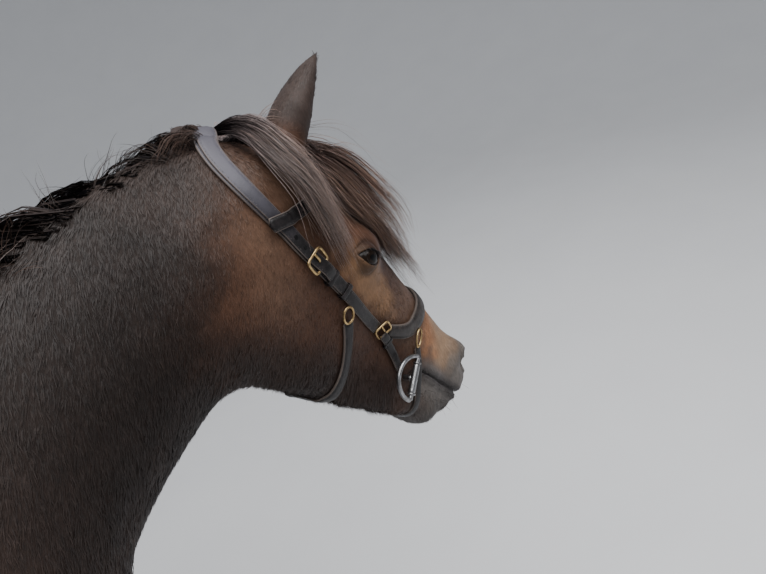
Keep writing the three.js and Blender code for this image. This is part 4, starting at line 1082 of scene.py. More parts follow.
def make_link(part, name, side):
    """A buckle with its tongue, or a plain ring, on the cheek."""
    facts = LINKS[part]
    turn = math.radians(facts["turn"])
    place, way, over, out = cheek_frame(facts["u"], facts["v"], side, facts["height"], turn)
    long, wide, wire = facts["long"] / 1000, facts["wide"] / 1000, facts["wire"] / 1000
    buckle = part.endswith("buckle")
    parts = [ring(part, place, way, over, long, wide, wire, 5.0 if buckle else 2.2)]
    if buckle:
        tongue = [place + way * long * 0.2 + out * 0.0010, place - way * long * 0.1 + out * 0.0034]
        tongue += [place - way * long * 0.6 + out * 0.0036, place - way * long * 1.08 + out * 0.0026]
        parts.append(swept("tongue", curve(tongue, 12), wire * 0.42, 8))
    return joined(f"{part}_{name}", parts)


COLLAR = {"at": (-0.70, 0.70), "half": 0.0022, "radius": 0.0064}
BAR = {"half": 0.068, "radius": 0.0044}


def make_bit_ring(name, side):
    """The bit's ring at one side: a bow, its straight side in a barrel, and a collar at either end."""
    down = FACE * math.cos(BIT_TURN) + THROAT * math.sin(BIT_TURN)
    rear = np.cross(ACROSS, down)
    rear = rear if rear[2] > 0 else -rear
    middle = on_head(BIT["u"], BIT["v"], side * BIT["y"])
    angle = np.linspace(-np.pi / 2, np.pi / 2, 24)
    bow = middle + np.outer(BIT["half"] * np.sin(angle), down) + np.outer(BIT["bulge"] * np.cos(angle), rear)
    straight = middle + np.outer(np.linspace(1.05, -1.05, 8) * BIT["half"], down)
    barrel = middle + np.outer(np.linspace(-0.72, 0.72, 8) * BIT["half"], down)
    parts = [
        swept("bow", bow, BIT["wire"], 14, 0.02),
        swept("straight", straight, BIT["wire"], 14, 0.04),
        swept("barrel", barrel, BIT["barrel"], 18, 0.08),
    ]
    for share in COLLAR["at"]:
        collar = middle + down * share * BIT["half"]
        along = np.array([collar - down * COLLAR["half"], collar, collar + down * COLLAR["half"]])
        parts.append(swept("collar", along, COLLAR["radius"], 18, 0.3))
    return joined(f"bit_ring_{name}", parts)


# Punched holes, drawn as flat near-black discs of painted shade on the strap: shares of the strap's length,
# radius, and height over the strap's underside
HOLES = {"at": (0.353, 0.415), "radius": 0.0026, "lift": 0.0036}


def make_holes(line, normals):
    """Flat near-black discs down the end of a strap: painted shade where the punched holes are."""
    at = np.array(HOLES["at"])
    outs, ways, ups = strap_axes(line, normals, at)
    deselect()
    bpy.ops.mesh.primitive_uv_sphere_add(segments=16, ring_count=8, radius=HOLES["radius"])
    pit = bpy.context.object
    move_points(pit, points_of(pit) * np.array([1.15, 1.0, 0.25]))
    return repeated("strap_holes", pit, along_line(line, at) + outs * HOLES["lift"], ways, ups)


made = {}
stitching = []
holes = []
for name in ("headpiece", "browband", "noseband", "jaw_strap", "chin_strap"):
    made[name], thread, _ = make_strap(name, STRAPS[name])
    stitching.append(thread)
for name, side in SIDES.items():
    for part in ("crown_strap", "cheekpiece", "bit_strap"):
        piece, thread, lines = make_strap(part, STRAPS[part], side)
        stitching.append(thread)
        if part == "crown_strap":
            holes.append(make_holes(*lines[:2]))
        shares, thick = KEEPERS[part]
        bands = [make_keeper(*lines, share, thick) for share in shares]
        made[f"{part}_{name}"] = joined(f"{part}_{name}", [piece] + bands)
    for part in LINKS:
        made[f"{part}_{name}"] = make_link(part, name, side)
    made[f"bit_ring_{name}"] = make_bit_ring(name, side)
mouth_line = [on_head(BIT["u"], BIT["v"], y) for y in np.linspace(-BAR["half"], BAR["half"], 12)]
made["bit_mouthpiece"] = swept("bit_mouthpiece", np.array(mouth_line), BAR["radius"], 16, 0.02)
made["stitches"] = joined("stitches", stitching)
made["strap_holes"] = joined("strap_holes", holes)


def under_straps(points):
    """1 where a strap lies over the skin."""
    covered = np.zeros(len(points))
    for line, wide, height in strap_cover:
        for place, half in zip(line[::2], wide[::2]):
            off = np.linalg.norm(points - place, axis=1)
            covered = np.maximum(covered, off < half + height / 2000)
    return covered


def dense(share, number, most):
    """Tufts per square metre where a share of the skin has them, within the most of one piece."""
    total = (surface.area * share).sum() * number
    return share * number * min(1, most / max(total, 1)) * 1


middle = surface.middle
on_head_share = head_share(middle)
on_leg_share = leg_share(middle) * (1 - on_head_share)
on_neck_share = step(middle[:, 0], 0.25, 0.33) * step(middle[:, 2], 0.95, 1.05) * (1 - on_head_share)
on_body_share = 1 - np.maximum.reduce([on_head_share, on_leg_share, on_neck_share])
lips_gap, on_lips = mouth_gap(middle)
bare = np.maximum(bell(lips_gap, 0, 0.0025) * on_lips, 1 - step(gap_to(middle, eye_frame), 0.0225, 0.0265))
bare = np.maximum(bare, under_straps(middle))
right_side = middle[:, 1] < 0
low_half = head_uvy(middle)[1] > 0.105
low_neck = middle[:, 2] < 1.22
# Short coat: where it grows, tufts per square metre, the most tufts, and a tuft's width and lift
COATS = {
    "face_right": (on_head_share * right_side * ~low_half * (1 - bare), 520000, 48000, 0.0009, 0.13),
    "cheek_right": (on_head_share * right_side * low_half * (1 - bare), 480000, 54000, 0.0009, 0.11),
    "head_left": (on_head_share * ~right_side * (1 - bare), 180000, 32000, 0.0013, 0.13),
    "neck_right": (on_neck_share * right_side * ~low_neck, 480000, 54000, 0.0010, 0.12),
    "throat_right": (on_neck_share * right_side * low_neck, 380000, 40000, 0.0013, 0.16),
    "neck_left": (on_neck_share * ~right_side, 180000, 34000, 0.0016, 0.17),
    "body_right": (on_body_share * right_side, 36000, 42000, 0.0022, 0.14),
    "body_left": (on_body_share * ~right_side, 36000, 42000, 0.0022, 0.14),
    "legs": (on_leg_share, 80000, 38000, 0.0018, 0.16),
}
pieces = {}
for name, (where, number, most, width, rise) in COATS.items():
    pieces[f"coat_{name}"] = make_tufts(f"coat_{name}", dense(where, number, most), width, rise)


# Hair of mane, forelock and tail: thin ribbons in locks round guiding lines
DARK_HAIR = [(0.014, 0.010, 0.009), (0.030, 0.019, 0.015), (0.110, 0.058, 0.035)]
BROWN_HAIR = [(0.066, 0.045, 0.041), (0.180, 0.119, 0.100), (0.440, 0.270, 0.185)]
ASH_HAIR = [(0.050, 0.040, 0.040), (0.132, 0.102, 0.098), (0.330, 0.225, 0.175)]

# How many locks, ribbons in each, a ribbon's width, a lock's reach at its roots and its tips, tones
# from root to tip, how much the tips are bleached, and the shares of the length where ribbons end
Hair = namedtuple("Hair", "locks strands width spread tuft tones bleach ends", defaults=[(0.72, 1.05)])
HAIR = {
    "mane_front": Hair(80, 28, 0.0007, 0.011, 0.007, DARK_HAIR, 0.15),
    "mane_hair": Hair(235, 22, 0.0021, 0.011, 0.007, DARK_HAIR, 0.5),
    "forelock_hair": Hair(330, 20, 0.0008, 0.010, 0.007, BROWN_HAIR, 1.0, (0.66, 1.08)),
    "stray_hair": Hair(14, 1, 0.0005, 0.0, 0.0, BROWN_HAIR, 0.5),
    "arch_lock": Hair(70, 30, 0.0006, 0.005, 0.0045, ASH_HAIR, 0.8, (0.55, 1.08)),
    "poll_hair": Hair(90, 20, 0.0007, 0.008, 0.007, ASH_HAIR, 0.6),
    "loose_hair": Hair(60, 4, 0.0005, 0.010, 0.020, DARK_HAIR, 0.5),
    "whiskers": Hair(50, 1, 0.0004, 0.0, 0.0, DARK_HAIR, 0.1),
    "tail_hair": Hair(240, 18, 0.0024, 0.014, 0.010, DARK_HAIR, 0.35),
}


# Two triangles between one pair of a ribbon's vertices and the next
RIBBON_FACES = np.array([[0, 1, 3], [0, 3, 2]])
WAVE = 0.0030
STRAY = {"share": 0.2, "off": 0.012}


def make_hair(name, locks, light=1.0):
    """Ribbons round each lock's guiding line: spread at the roots, gathered loosely at the tips."""
    _, strands, width, spread, tuft, tones, bleach, ends = HAIR[name]
    guides, outs = (np.array(lines) for lines in zip(*locks))
    # A lock's tone varies at random and by the light given, which on the forelock is painted shade: lower
    # layers darker
    lock_tone_and_shade = np.broadcast_to(light, len(guides)) * chance.uniform(0.55, 1.3, len(guides))
    guides = np.repeat(guides, strands, axis=0)
    outs = np.repeat(outs, strands, axis=0)
    count, rows = guides.shape[:2]
    t = np.linspace(0, 1, rows)[None, :, None]
    toward = unit(np.gradient(guides, axis=1))
    over = unit(np.cross(toward, outs))
    up = np.cross(over, toward)
    angle, far = TURN * chance.random(count), np.sqrt(chance.random(count))
    a = (np.cos(angle) * far)[:, None, None]
    b = (np.abs(np.sin(angle)) * far)[:, None, None]
    size = spread + (tuft - spread) * t
    turns = t * chance.uniform(0.8, 2.8, (2, count, 1, 1)) + chance.random((2, count, 1, 1))
    reach = np.linalg.norm(np.diff(guides, axis=1), axis=2).sum(axis=1)[:, None, None]
    loose = np.clip(reach / 0.2, 0.1, 1)
    wave, heave = WAVE * loose * np.sin(TURN * turns) * t
    line = guides + over * (a * size + wave) + up * (b * size * 0.6 + 0.6 * heave)
    strays = chance.random((count, 1, 1)) < STRAY["share"]
    stray = strays * chance.normal(0, STRAY["off"], (count, 1, 3)) * loose
    line = line + stray * t**1.6
    short = chance.uniform(*ends, (count, 1)) * np.linspace(0, 1, rows)[None, :]
    pick_at = np.clip(short * (rows - 1), 0, rows - 1.001)
    low = pick_at.astype(int)
    part = (pick_at - low)[:, :, None]
    index = np.arange(count)[:, None]
    line = line[index, low] * (1 - part) + line[index, low + 1] * part
    roll = chance.normal(0, 0.5, (count, 1, 1))
    flat = over * np.cos(roll) + up * np.sin(roll)
    half = width / 2 * chance.uniform(0.7, 1.3, (count, 1, 1)) * (1 - 0.93 * t**2.2)
    co = np.stack([line - flat * half, line + flat * half], axis=2)
    dark, middle_tone, bright = np.array(tones)
    shade = dark + (middle_tone - dark) * step(t, 0.0, 0.3)
    tip = bleach * chance.uniform(0.1, 1.2, (count, 1, 1)) * step(t, 0.3, 1.0)
    shade = shade + (bright - shade) * tip
    shade = shade * chance.uniform(0.6, 1.4, (count, 1, 1)) * np.repeat(lock_tone_and_shade, strands)[:, None, None]
    colour = np.repeat(shade[:, :, None, :], 2, axis=2)
    ladder = (np.arange(rows - 1) * 2)[:, None, None] + RIBBON_FACES[None]
    faces = (np.arange(count) * rows * 2)[:, None, None] + ladder.reshape(1, -1, 3)
    uv = []
    for root in guides[::strands, 0]:
        uv += [surface.uv[surface.nearest(root)[3]].mean(axis=0)] * strands
    rise = np.repeat(np.linspace(-PATCH, PATCH, rows)[:, None], 2, axis=1)
    patch = np.stack([np.tile([-PATCH, PATCH], (rows, 1)), rise], axis=2)
    uv = np.array(uv)[:, None, None, :] + patch[None]
    facing = unit(up + unit(line - guides) * 0.9 + flat * chance.normal(0, 0.25, (count, 1, 1)))
    parts = (co.reshape(-1, 3), faces.reshape(-1, 3), colour.reshape(-1, 3), uv.reshape(-1, 2))
    return make_coat(name, *parts, np.repeat(facing, 2, axis=1).reshape(-1, 3))


def mix(a, b, share):
    return a + (b - a) * share


# How much a hanging line turns towards its fall from one point to the next
SAG = 0.42


def drape(start, way, long, rows, hold, fall):
    """A line that leaves a place one way, bends down, and lies over the skin or hangs clear."""
    line = [np.array(start)]
    way = unit(np.array(way, dtype=float))
    out = np.array([0.0, 1.0, 0.0])
    for _ in range(rows - 1):
        way = unit(way + np.array(fall) * SAG)
        point = line[-1] + way * long / (rows - 1)
        _, normal, gap, _ = surface.nearest(point)
        if gap < hold:
            point = point + normal * (hold - gap)
            out = normal
            way = unit(point - line[-1])
        line.append(point)
    return np.array(line), np.tile(out, (rows, 1))


CREST = {"from": 0.828, "to": 0.216, "front": 0.74}
MANE_ROWS = 12


def crest_point(x, y):
    """Highest place of the neck's skin at a distance along it."""
    hit, _, _, _ = surface.tree.ray_cast(Vector((x, y, 2.0)), Vector((0, 0, -1)))
    return np.array(hit)


def make_mane(name, first, last):
    """Locks from a stretch of the crest, which fall down the left of the neck."""
    locks = []
    for n in range(HAIR[name].locks):
        x = mix(first, last, (n + chance.random()) / HAIR[name].locks)
        share = (x - CREST["from"]) / (CREST["to"] - CREST["from"])
        full = step(x, 0.80, 0.60)
        start = crest_point(x, chance.uniform(-0.018, 0.020)) - np.array([0, 0, 0.004])
        long = (0.22 + 0.24 * bell(share, 0.42, 0.33)) * chance.uniform(0.8, 1.05)
        long = 0.05 + long * step(x, 0.83, 0.74)
        layer = chance.uniform(0.003, 0.006) + 0.026 * full * chance.random()
        lean = (-0.4 + 0.25 * chance.normal(), 0.9, 0.85 * full * chance.random())
        fall = (-0.10 + 0.10 * chance.normal(), 0.03, -1.0)
        locks.append(drape(start, lean, long, MANE_ROWS, layer, fall))
    return make_hair(name, locks)


LOCK_ROWS = 15


def head_curve(points):
    return curve([on_head(*(np.array(p) / 1000)) for p in points], LOCK_ROWS)


def swayed(path, amount, reach):
    """A path that sways more towards its end, by an amount at a reach down the face."""
    sway = chance.normal(0, amount, 2)
    return [(u, v + sway[1] * u / reach, y + sway[0] * u / reach) for u, v, y in path]


def pushed_out(line, least):
    """A line with its places kept clear of the skin."""
    outs = []
    for k, point in enumerate(line):
        _, normal, gap, _ = surface.nearest(point)
        outs.append(normal)
        if gap < least:
            line[k] = point + normal * (least - gap)
    return smooth_line(line, 1), np.array(outs)


# Locks of the forelock in millimetres down the face: u, then at the right edge and at the midline
# the depth v of the lowest hair, how far the highest stands above it, and y
OUTER_LOCKS = [
    (12, (-3, -3), (0, 0), (-26, 16)),
    (58, (2, -20), (32, 16), (-48, 18)),
    (115, (12, -26), (66, 34), (-68, 21)),
    (180, (38, -28), (92, 40), (-79, 23)),
    (245, (46, -24), (94, 40), (-84, 20)),
    (305, (50, -8), (30, 10), (-84, 16)),
]
INNER_LOCKS = [
    (12, (-3, -3), (0, 0), (-26, 12)),
    (58, (4, -12), (8, 8), (-50, 8)),
    (115, (12, -20), (14, 14), (-68, 2)),
    (180, (24, -26), (18, 18), (-74, -4)),
    (245, (24, -26), (16, 16), (-66, -12)),
    (330, (24, -20), (14, 14), (-44, -18)),
    (415, (24, -8), (8, 8), (-30, -16)),
]
OUTER_COUNT = 170


def make_forelock():
    """Hair from between the ears, which stands off the forehead and falls to the right."""
    locks, light = [], []
    for n in range(HAIR["forelock_hair"].locks):
        outer = n < OUTER_COUNT
        g, h = chance.random(2) ** (1.35 if outer else 0.8, 0.8)
        rows = OUTER_LOCKS if outer else INNER_LOCKS
        path = [(u, mix(*low, g) - mix(*high, g) * h, mix(*y, g)) for u, low, high, y in rows]
        path = swayed(path, 7, 300)
        cut = 0.68 + 0.36 * g
        if outer:
            cut = (0.64 + 0.36 * min(1.6 * (g + h), 1)) * (1 - 0.14 * (h > 0.7))
        line = along_line(head_curve(path), np.linspace(0, cut * chance.uniform(0.74, 1.0), LOCK_ROWS))
        locks.append(pushed_out(line, 0.004 + 0.010 * h))
        # Standing hair lighter and lower hair darker: painted shade between the layers
        light.append(0.5 + 0.65 * h if outer else 0.45 + 0.3 * h)
    return make_hair("forelock_hair", locks, light)


def make_stray_hair():
    """A few long fine hairs that arch away from the forelock."""
    locks = []
    out = np.tile(np.array([0.3, -0.5, 0.8]), (LOCK_ROWS, 1))
    for _ in range(HAIR["stray_hair"].locks):
        high = chance.uniform(0.55, 1.05)
        path = [(16, -4, -18), (50, -48 * high, -34), (100, -98 * high, -42), (150, -108 * high, -46)]
        path += [(200, -96 * high, -50), (246, -72 * high, -54)]
        line = head_curve(swayed(path, 6, 200))
        locks.append((along_line(line, np.linspace(0, chance.uniform(0.6, 1), LOCK_ROWS)), out))
    return make_hair("stray_hair", locks)


ARCH = [(-22, 14, -8), (-27, 16, -26), (-25, 14, -46), (-16, 21, -74), (0, 34, -95), (14, 38, -104)]
ARCH += [(40, 43, -108), (86, 58, -107), (118, 68, -103), (146, 76, -99), (170, 86, -97)]


def make_arch():
    """The lock that comes from behind the poll and falls past the temple."""
    locks = []
    for _ in range(HAIR["arch_lock"].locks):
        a, b = chance.uniform(-1, 1, 2)
        count = max(int(len(ARCH) * chance.uniform(0.66, 1.04)), 7)
        path = []
        for k, (u, v, y) in enumerate(ARCH[:count]):
            part = min(k / 3, 1)
            fan = 1 + 0.05 * k
            path.append((u - 4 * a, v - 10 * a * part * fan + 3 * b, y + 4 * b * part + 8 * b * (1 - part)))
        sway = chance.normal(0, 2.5, 2)
        path = [(u, v + sway[0] * k / 5, y + sway[1] * k / 5) for k, (u, v, y) in enumerate(path)]
        locks.append(pushed_out(head_curve(path), 0.005))
    return make_hair("arch_lock", locks, 0.8)


def make_poll_hair():
    """Shorter hair between the headpiece and the ears, lying forward and to both sides."""
    locks = []
    for _ in range(HAIR["poll_hair"].locks):
        side = -1 if chance.random() < 0.7 else 1
        u, y = chance.uniform(-0.020, 0.012), side * chance.uniform(0.0, 0.030)
        start = surface.nearest(on_head(u, 0.0, y))[0] - np.array([0, 0, 0.003])
        way = FACE * 0.9 + np.array([0.1 * chance.normal(), side * 0.8, 0.25])
        fall = (0.25 + 0.15 * chance.normal(), 0.25 * side, -0.9)
        long, hold = chance.uniform(0.04, 0.09), chance.uniform(0.002, 0.008)
        locks.append(drape(start, way, long, 10, hold, fall))
    return make_hair("poll_hair", locks)


CREST_HAIRS = 50


def make_loose_hair():
    """Fine hairs that stand loose over the crest and poll."""
    locks = []
    for n in range(HAIR["loose_hair"].locks):
        x = chance.uniform(0.45, 0.80) if n < CREST_HAIRS else chance.uniform(0.878, 0.905)
        start = crest_point(x, chance.uniform(-0.02, 0.02)) - np.array([0, 0, 0.002])
        way = (0.4 + 0.5 * chance.normal(), 0.5 * chance.normal(), 1.0)
        long = chance.uniform(0.03, 0.06)
        fall = (0.3 * chance.normal(), 0.2, -0.35)
        locks.append(drape(start, way, long, 9, 0.002, fall))
    return make_hair("loose_hair", locks)


WHISKER_SPOTS = [(0.47, 0.165, 0.03), (0.50, 0.155, 0.03), (0.53, 0.14, 0.03), (0.55, 0.11, 0.04)]
WHISKER_SPOTS += [(0.44, 0.18, 0.03)]


def make_whiskers():
    """Long single hairs round the lips and chin."""
    locks = []
    out = np.tile(np.array([0.3, 0.9, 0.1]), (6, 1))
    rounds = HAIR["whiskers"].locks // (2 * len(WHISKER_SPOTS))
    for u, v, y in WHISKER_SPOTS * rounds:
        for side in (-1, 1):
            across = side * y * chance.uniform(0.6, 1.3)
            spot = on_head(u + 0.02 * chance.normal(), v + 0.01 * chance.normal(), across)
            place, normal = surface.nearest(spot)[:2]
            way = normal + FACE * 0.3 + 0.2 * chance.normal(0, 1, 3)
            way = unit(way) * chance.uniform(0.012, 0.030)
            line = curve([place, place + way * 0.5, place + way - np.array([0, 0, 0.003])], 6)
            locks.append((line, out))
    return make_hair("whiskers", locks)


TAIL_ROWS = 15
TAIL = {"x": -1.050, "half": 0.098, "deep": 0.046, "low": 0.20}


def make_tail():
    """Long hair from the whole dock, in a thick flat bunch with ragged ends."""
    locks = []
    for _ in range(HAIR["tail_hair"].locks):
        angle = TURN * chance.random()
        side, out = math.cos(angle), math.sin(angle)
        layer = math.sqrt(chance.random())
        down = chance.random()
        root_y = side * 0.022 * (0.4 + 0.6 * layer)
        root = np.array([mix(-0.925, -1.012, down), root_y, mix(1.172, 0.99, down)])
        y, x = side * TAIL["half"] * layer, TAIL["x"] + out * TAIL["deep"] * layer
        ragged = 0.10 * chance.random() + 0.10 * (1 - layer) * chance.random()
        low = TAIL["low"] + 0.16 * abs(side) * layer + ragged
        path = [
            root,
            (mix(root[0], x, 0.55) - 0.01, y * 0.5, root[2] - 0.06),
            (x, y * 0.85, root[2] - 0.20),
            (x - 0.004, y, 0.68),
            (x + 0.008, y * 0.95, mix(0.68, low, 0.5)),
            (x + 0.020, y * 0.7, low),
        ]
        locks.append((curve(path, TAIL_ROWS), np.tile([out * 0.3 - 0.95, side, 0.05], (TAIL_ROWS, 1))))
    return make_hair("tail_hair", locks)


pieces["mane_front"] = make_mane("mane_front", CREST["from"], CREST["front"])
pieces["mane_hair"] = make_mane("mane_hair", CREST["front"], CREST["to"])
pieces["forelock_hair"] = make_forelock()
pieces["stray_hair"] = make_stray_hair()
pieces["arch_lock"] = make_arch()
pieces["poll_hair"] = make_poll_hair()
pieces["loose_hair"] = make_loose_hair()
pieces["whiskers"] = make_whiskers()
pieces["tail_hair"] = make_tail()


# Eyes: a ball, a little smaller than its socket, with a bulge of cornea, and the upper lids' lashes
EYE_GAP = 0.0003
CORNEA = 0.055
LASHES = {"count": 34, "long": 0.011, "thick": 0.00022}


def make_eye(name, side):
    centre, long, up, out = eye_frame(side)
    deselect()
    bpy.ops.mesh.primitive_uv_sphere_add(segments=64, ring_count=40, radius=EYE["radius"] - EYE_GAP)
    ball = bpy.context.object
    ball.name = ball.data.name = f"eye_{name}"
    co = points_of(ball)
    gaze = co[:, 2] / EYE["radius"]
    co = co * (1 + CORNEA * step(gaze, 0.75, 0.93))[:, None]
    move_points(ball, centre + np.outer(co[:, 0], long) + np.outer(co[:, 1], up) + np.outer(co[:, 2], out))
    bpy.ops.object.shade_smooth()
    return ball


def make_lashes():
    """Long straight lashes along both upper lids."""
    lashes = []
    for side in (-1, 1):
        centre, long, up, out = eye_frame(side)
        for share in np.linspace(-0.75, 0.85, LASHES["count"]):
            share = share + chance.normal(0, 0.015)
            a = share * EYE["long"]
            b = EYE["upper"] * (1.12 - share**2)
            o = math.sqrt((EYE["radius"] + 0.0016) ** 2 - a * a - b * b)
            root = centre + long * a + up * b + out * o
            reach = LASHES["long"] * chance.uniform(0.7, 1.1)
            way = unit(out * 0.9 - up * 0.5 + long * (0.5 * share + 0.1 * chance.normal()))
            bow = curve([root, root + way * reach * 0.5 - up * 0.0012, root + way * reach], 4)
            lashes.append(swept("lash", bow, LASHES["thick"], 5, 0.5))
    return joined("lashes", lashes)


for name, side in SIDES.items():
    made[f"eye_{name}"] = make_eye(name, side)
made["lashes"] = make_lashes()

# Hooves: the solids' shapes, remade finely with growth rings round the wall
HOOF_VOXEL = 0.0035
CORONET = unit(np.array([-0.38, 0.0, 1.0]))
HORN_RINGS = {"apart": 0.0062, "high": 0.00035, "inset": 0.0004}
SOLE = 0.0004


def make_hoof(node):
    """A hoof's horn from its solid."""
    hoof = merged_copy([node], f"{node}_horn")
    hoof.data.remesh_voxel_size = HOOF_VOXEL
    bpy.ops.object.voxel_remesh()
    co = smoothed(points_of(hoof), edges_of(hoof), 5)
    move_points(hoof, co)
    uneven = 1.2 * np.sin(co[:, 1] * 60) + 1.5 * np.sin(co[:, 2] * 90)
    rings = np.sin((co @ CORONET) * TURN / HORN_RINGS["apart"] + uneven)
    wall = step(co[:, 2], 0.006, 0.016)
    co = co + normals_of(hoof) * (HORN_RINGS["high"] * rings * wall - HORN_RINGS["inset"])[:, None]
    co[:, 2] = np.maximum(co[:, 2], SOLE)
    move_points(hoof, co)
    bpy.ops.object.shade_smooth()
    return hoof


for node in ("hoof_fore_right", "hoof_fore_left", "hoof_hind_right", "hoof_hind_left"):
    made[node] = make_hoof(node)


# Materials
def coat_finish(name, roughness, streaks, strength, shine=0.26):
    """The coat's colours, painted shade included, streaked along the hair and a little patchy."""
    f = Finish(name)
    shade = f.node("ShaderNodeAttribute", {"attribute_name": "shade"})
    fine = f.noise(f.place((1, 1, 0.35), (0, 0.5, 0)), streaks, 4, 0.6)
    patchy = f.noise(f.place(), 9, 3, 0.6)
    light = f.range(fine, 0.25, 0.75, 0.72, 1.28) * f.range(patchy, 0.3, 0.7, 0.85, 1.15)
    colour = f.vector("SCALE", shade, Scale=light)
    bump = f.bump(fine, strength, 0.001)
    return f.close(
        Base_Color=colour, Roughness=roughness, Normal=bump, Specular_IOR_Level=shine,
        Sheen_Weight=0.08, Sheen_Roughness=0.35, Sheen_Tint=(0.75, 0.72, 0.8),
    )


# Colour of the rolled edges, part wear and part painted highlight
EDGE_WEAR_AND_HIGHLIGHT = (0.115, 0.092, 0.080)
# Heights over which the painted sky reflection on the upper straps comes in
BROW_HEIGHT = (1.375, 1.465)
LEATHER = (0.0120, 0.0096, 0.0100)
# Colour of the painted sky reflection on the upper straps
SKY_SHEEN = (0.060, 0.057, 0.069)


def scaled(colour, factor):
    return tuple(factor * c for c in colour)


def leather_finish(name, base, roughness=0.36, sky_sheen=None):
    """Grained, creased and worn leather. Its rolled edges are lighter, partly from wear and partly as a
    painted highlight, and where a second colour is given it carries a painted sky reflection, paler and
    bluer, above the browband.
    """
    f = Finish(name)
    where = f.place()
    grain = f.noise(where, 900, 4, 0.6)
    creases = f.noise(f.place((1, 1, 1), (0.4, 0.2, 0.1)), 160, 5, 0.65)
    wear = f.noise(where, 38, 4, 0.6)
    colour = f.mix(f.range(wear, 0.35, 0.7), base, scaled(base, 2.2))
    colour = f.mix(f.range(creases, 0.42, 0.62), scaled(base, 0.5), colour)
    if sky_sheen:
        # Painted sky reflection on the upper straps, paler above the browband
        high = f.vector("DOT_PRODUCT", where, (0, 0, 1), out=1)
        pale = f.mix(f.range(wear, 0.35, 0.7), sky_sheen, scaled(sky_sheen, 1.4))
        colour = f.mix(f.range(high, *BROW_HEIGHT), colour, pale)
    # Lighter rolled edges: wear, and a painted highlight along them
    edge = f.node("ShaderNodeAttribute", {"attribute_name": "edge"}, out=2)
    colour = f.mix(edge * f.range(wear, 0.2, 0.6, 0.4, 1.0), colour, EDGE_WEAR_AND_HIGHLIGHT)
    rough = f.range(wear, 0.3, 0.7, roughness, roughness + 0.22)
    bump = f.bump(grain, 0.35, 0.0006)
    bump = f.bump(creases, 0.3, 0.0012, bump)
    return f.close(
        Base_Color=colour, Roughness=rough, Normal=bump, Specular_IOR_Level=0.2,
        Coat_Weight=0.1, Coat_Roughness=0.3,
    )


def metal_finish(name, bright, dull, roughness):
    f = Finish(name)
    tarnish = f.noise(f.place(), 120, 5, 0.65)
    scratches = f.noise(f.place((1, 8, 1), (0.5, 0.4, 0.9)), 500, 2)
    colour = f.mix(f.range(tarnish, 0.4, 0.68), bright, dull)
    rough = f.range(tarnish, 0.3, 0.7, roughness, roughness + 0.25)
    bump = f.bump(scratches, 0.2, 0.0004)
    return f.close(Base_Color=colour, Roughness=rough, Metallic=1.0, Normal=bump)


PUPIL = {"long": 0.0062, "high": 0.0040}


def eye_finish():
    """A dark eye with a lying oval pupil. Both eyes lie at one height, so one pattern serves both."""
    f = Finish("eye_gloss")
    centre, long, up, _ = eye_frame(-1)
    off = f.vector("SUBTRACT", f.place(), tuple(centre))
    along = f.vector("DOT_PRODUCT", off, tuple(long / PUPIL["long"]), out=1)
    high = f.vector("DOT_PRODUCT", off, tuple(up / PUPIL["high"]), out=1)
    far = f.maths("SQRT", along * along + high * high)
    fibres = f.noise(f.place((1, 1, 1)), 700, 4, 0.7)
    iris = f.mix(f.range(fibres, 0.3, 0.7), (0.006, 0.004, 0.003), (0.014, 0.008, 0.005))
    colour = f.mix(f.range(far, 0.9, 1.15), (0.0015, 0.0015, 0.002), iris)
    colour = f.mix(f.range(far, 2.2, 2.6), colour, (0.010, 0.007, 0.006))
    return f.close(Base_Color=colour, Roughness=f.range(fibres, 0, 1, 0.12, 0.20), Specular_IOR_Level=0.15)


def horn_finish():
    f = Finish("hoof_horn")
    wall = f.noise(f.place((1, 1, 0.08)), 260, 4, 0.6)
    rings = f.noise(f.place((0.05, 0.05, 1)), 420, 3, 0.5)
    dust = f.noise(f.place(), 30, 5, 0.65)
    colour = f.mix(f.range(rings, 0.35, 0.65), (0.022, 0.018, 0.015), (0.058, 0.047, 0.038))
    colour = f.mix(f.range(wall, 0.4, 0.65, 0, 0.6), colour, (0.030, 0.023, 0.018))
    colour = f.mix(f.range(dust, 0.5, 0.75, 0, 0.5), colour, (0.160, 0.140, 0.120))
    bump = f.bump(wall, 0.3, 0.0008)
    bump = f.bump(rings, 0.3, 0.0008, bump)
    return f.close(Base_Color=colour, Roughness=f.range(dust, 0.3, 0.7, 0.38, 0.7), Normal=bump)


def ground_finish():
    f = Finish("pale_floor")
    speck = f.noise(f.place(), 3, 3, 0.5)
    colour = f.mix(speck, (0.74, 0.745, 0.76), (0.80, 0.805, 0.815))
    return f.close(Base_Color=colour, Roughness=0.9)


def dress(obj, material):
    obj.data.materials.clear()
    obj.data.materials.append(material)


coat_look = coat_finish("coat", 0.55, 420, 0.35)
skin_look = coat_finish("coat_under", 0.62, 300, 0.6, 0.16)
body_look = coat_finish("body_coat", 0.62, 420, 0.35, 0.14)
hair_look = coat_finish("long_hair", 0.38, 500, 0.2)
mane_look = coat_finish("mane_hair", 0.5, 500, 0.2, 0.09)
leather = leather_finish("bridle_leather", LEATHER)
# Leather of the upper straps, with a painted sky reflection
sky_lit_leather = leather_finish("sky_lit_leather", LEATHER, 0.35, SKY_SHEEN)
worn_leather = leather_finish("worn_leather", (0.024, 0.018, 0.016), 0.38)
thread_look = leather_finish("waxed_thread", (0.090, 0.080, 0.074), 0.55)
brass = metal_finish("bridle_brass", (0.52, 0.37, 0.18), (0.20, 0.13, 0.065), 0.28)
steel = metal_finish("bit_steel", (0.34, 0.34, 0.35), (0.16, 0.157, 0.152), 0.24)
# Near-black: painted shade standing for the holes
hole_shadow_look = leather_finish("punched_hole_shadow", (0.002, 0.002, 0.002), 0.7)
eye_look = eye_finish()
horn_look = horn_finish()
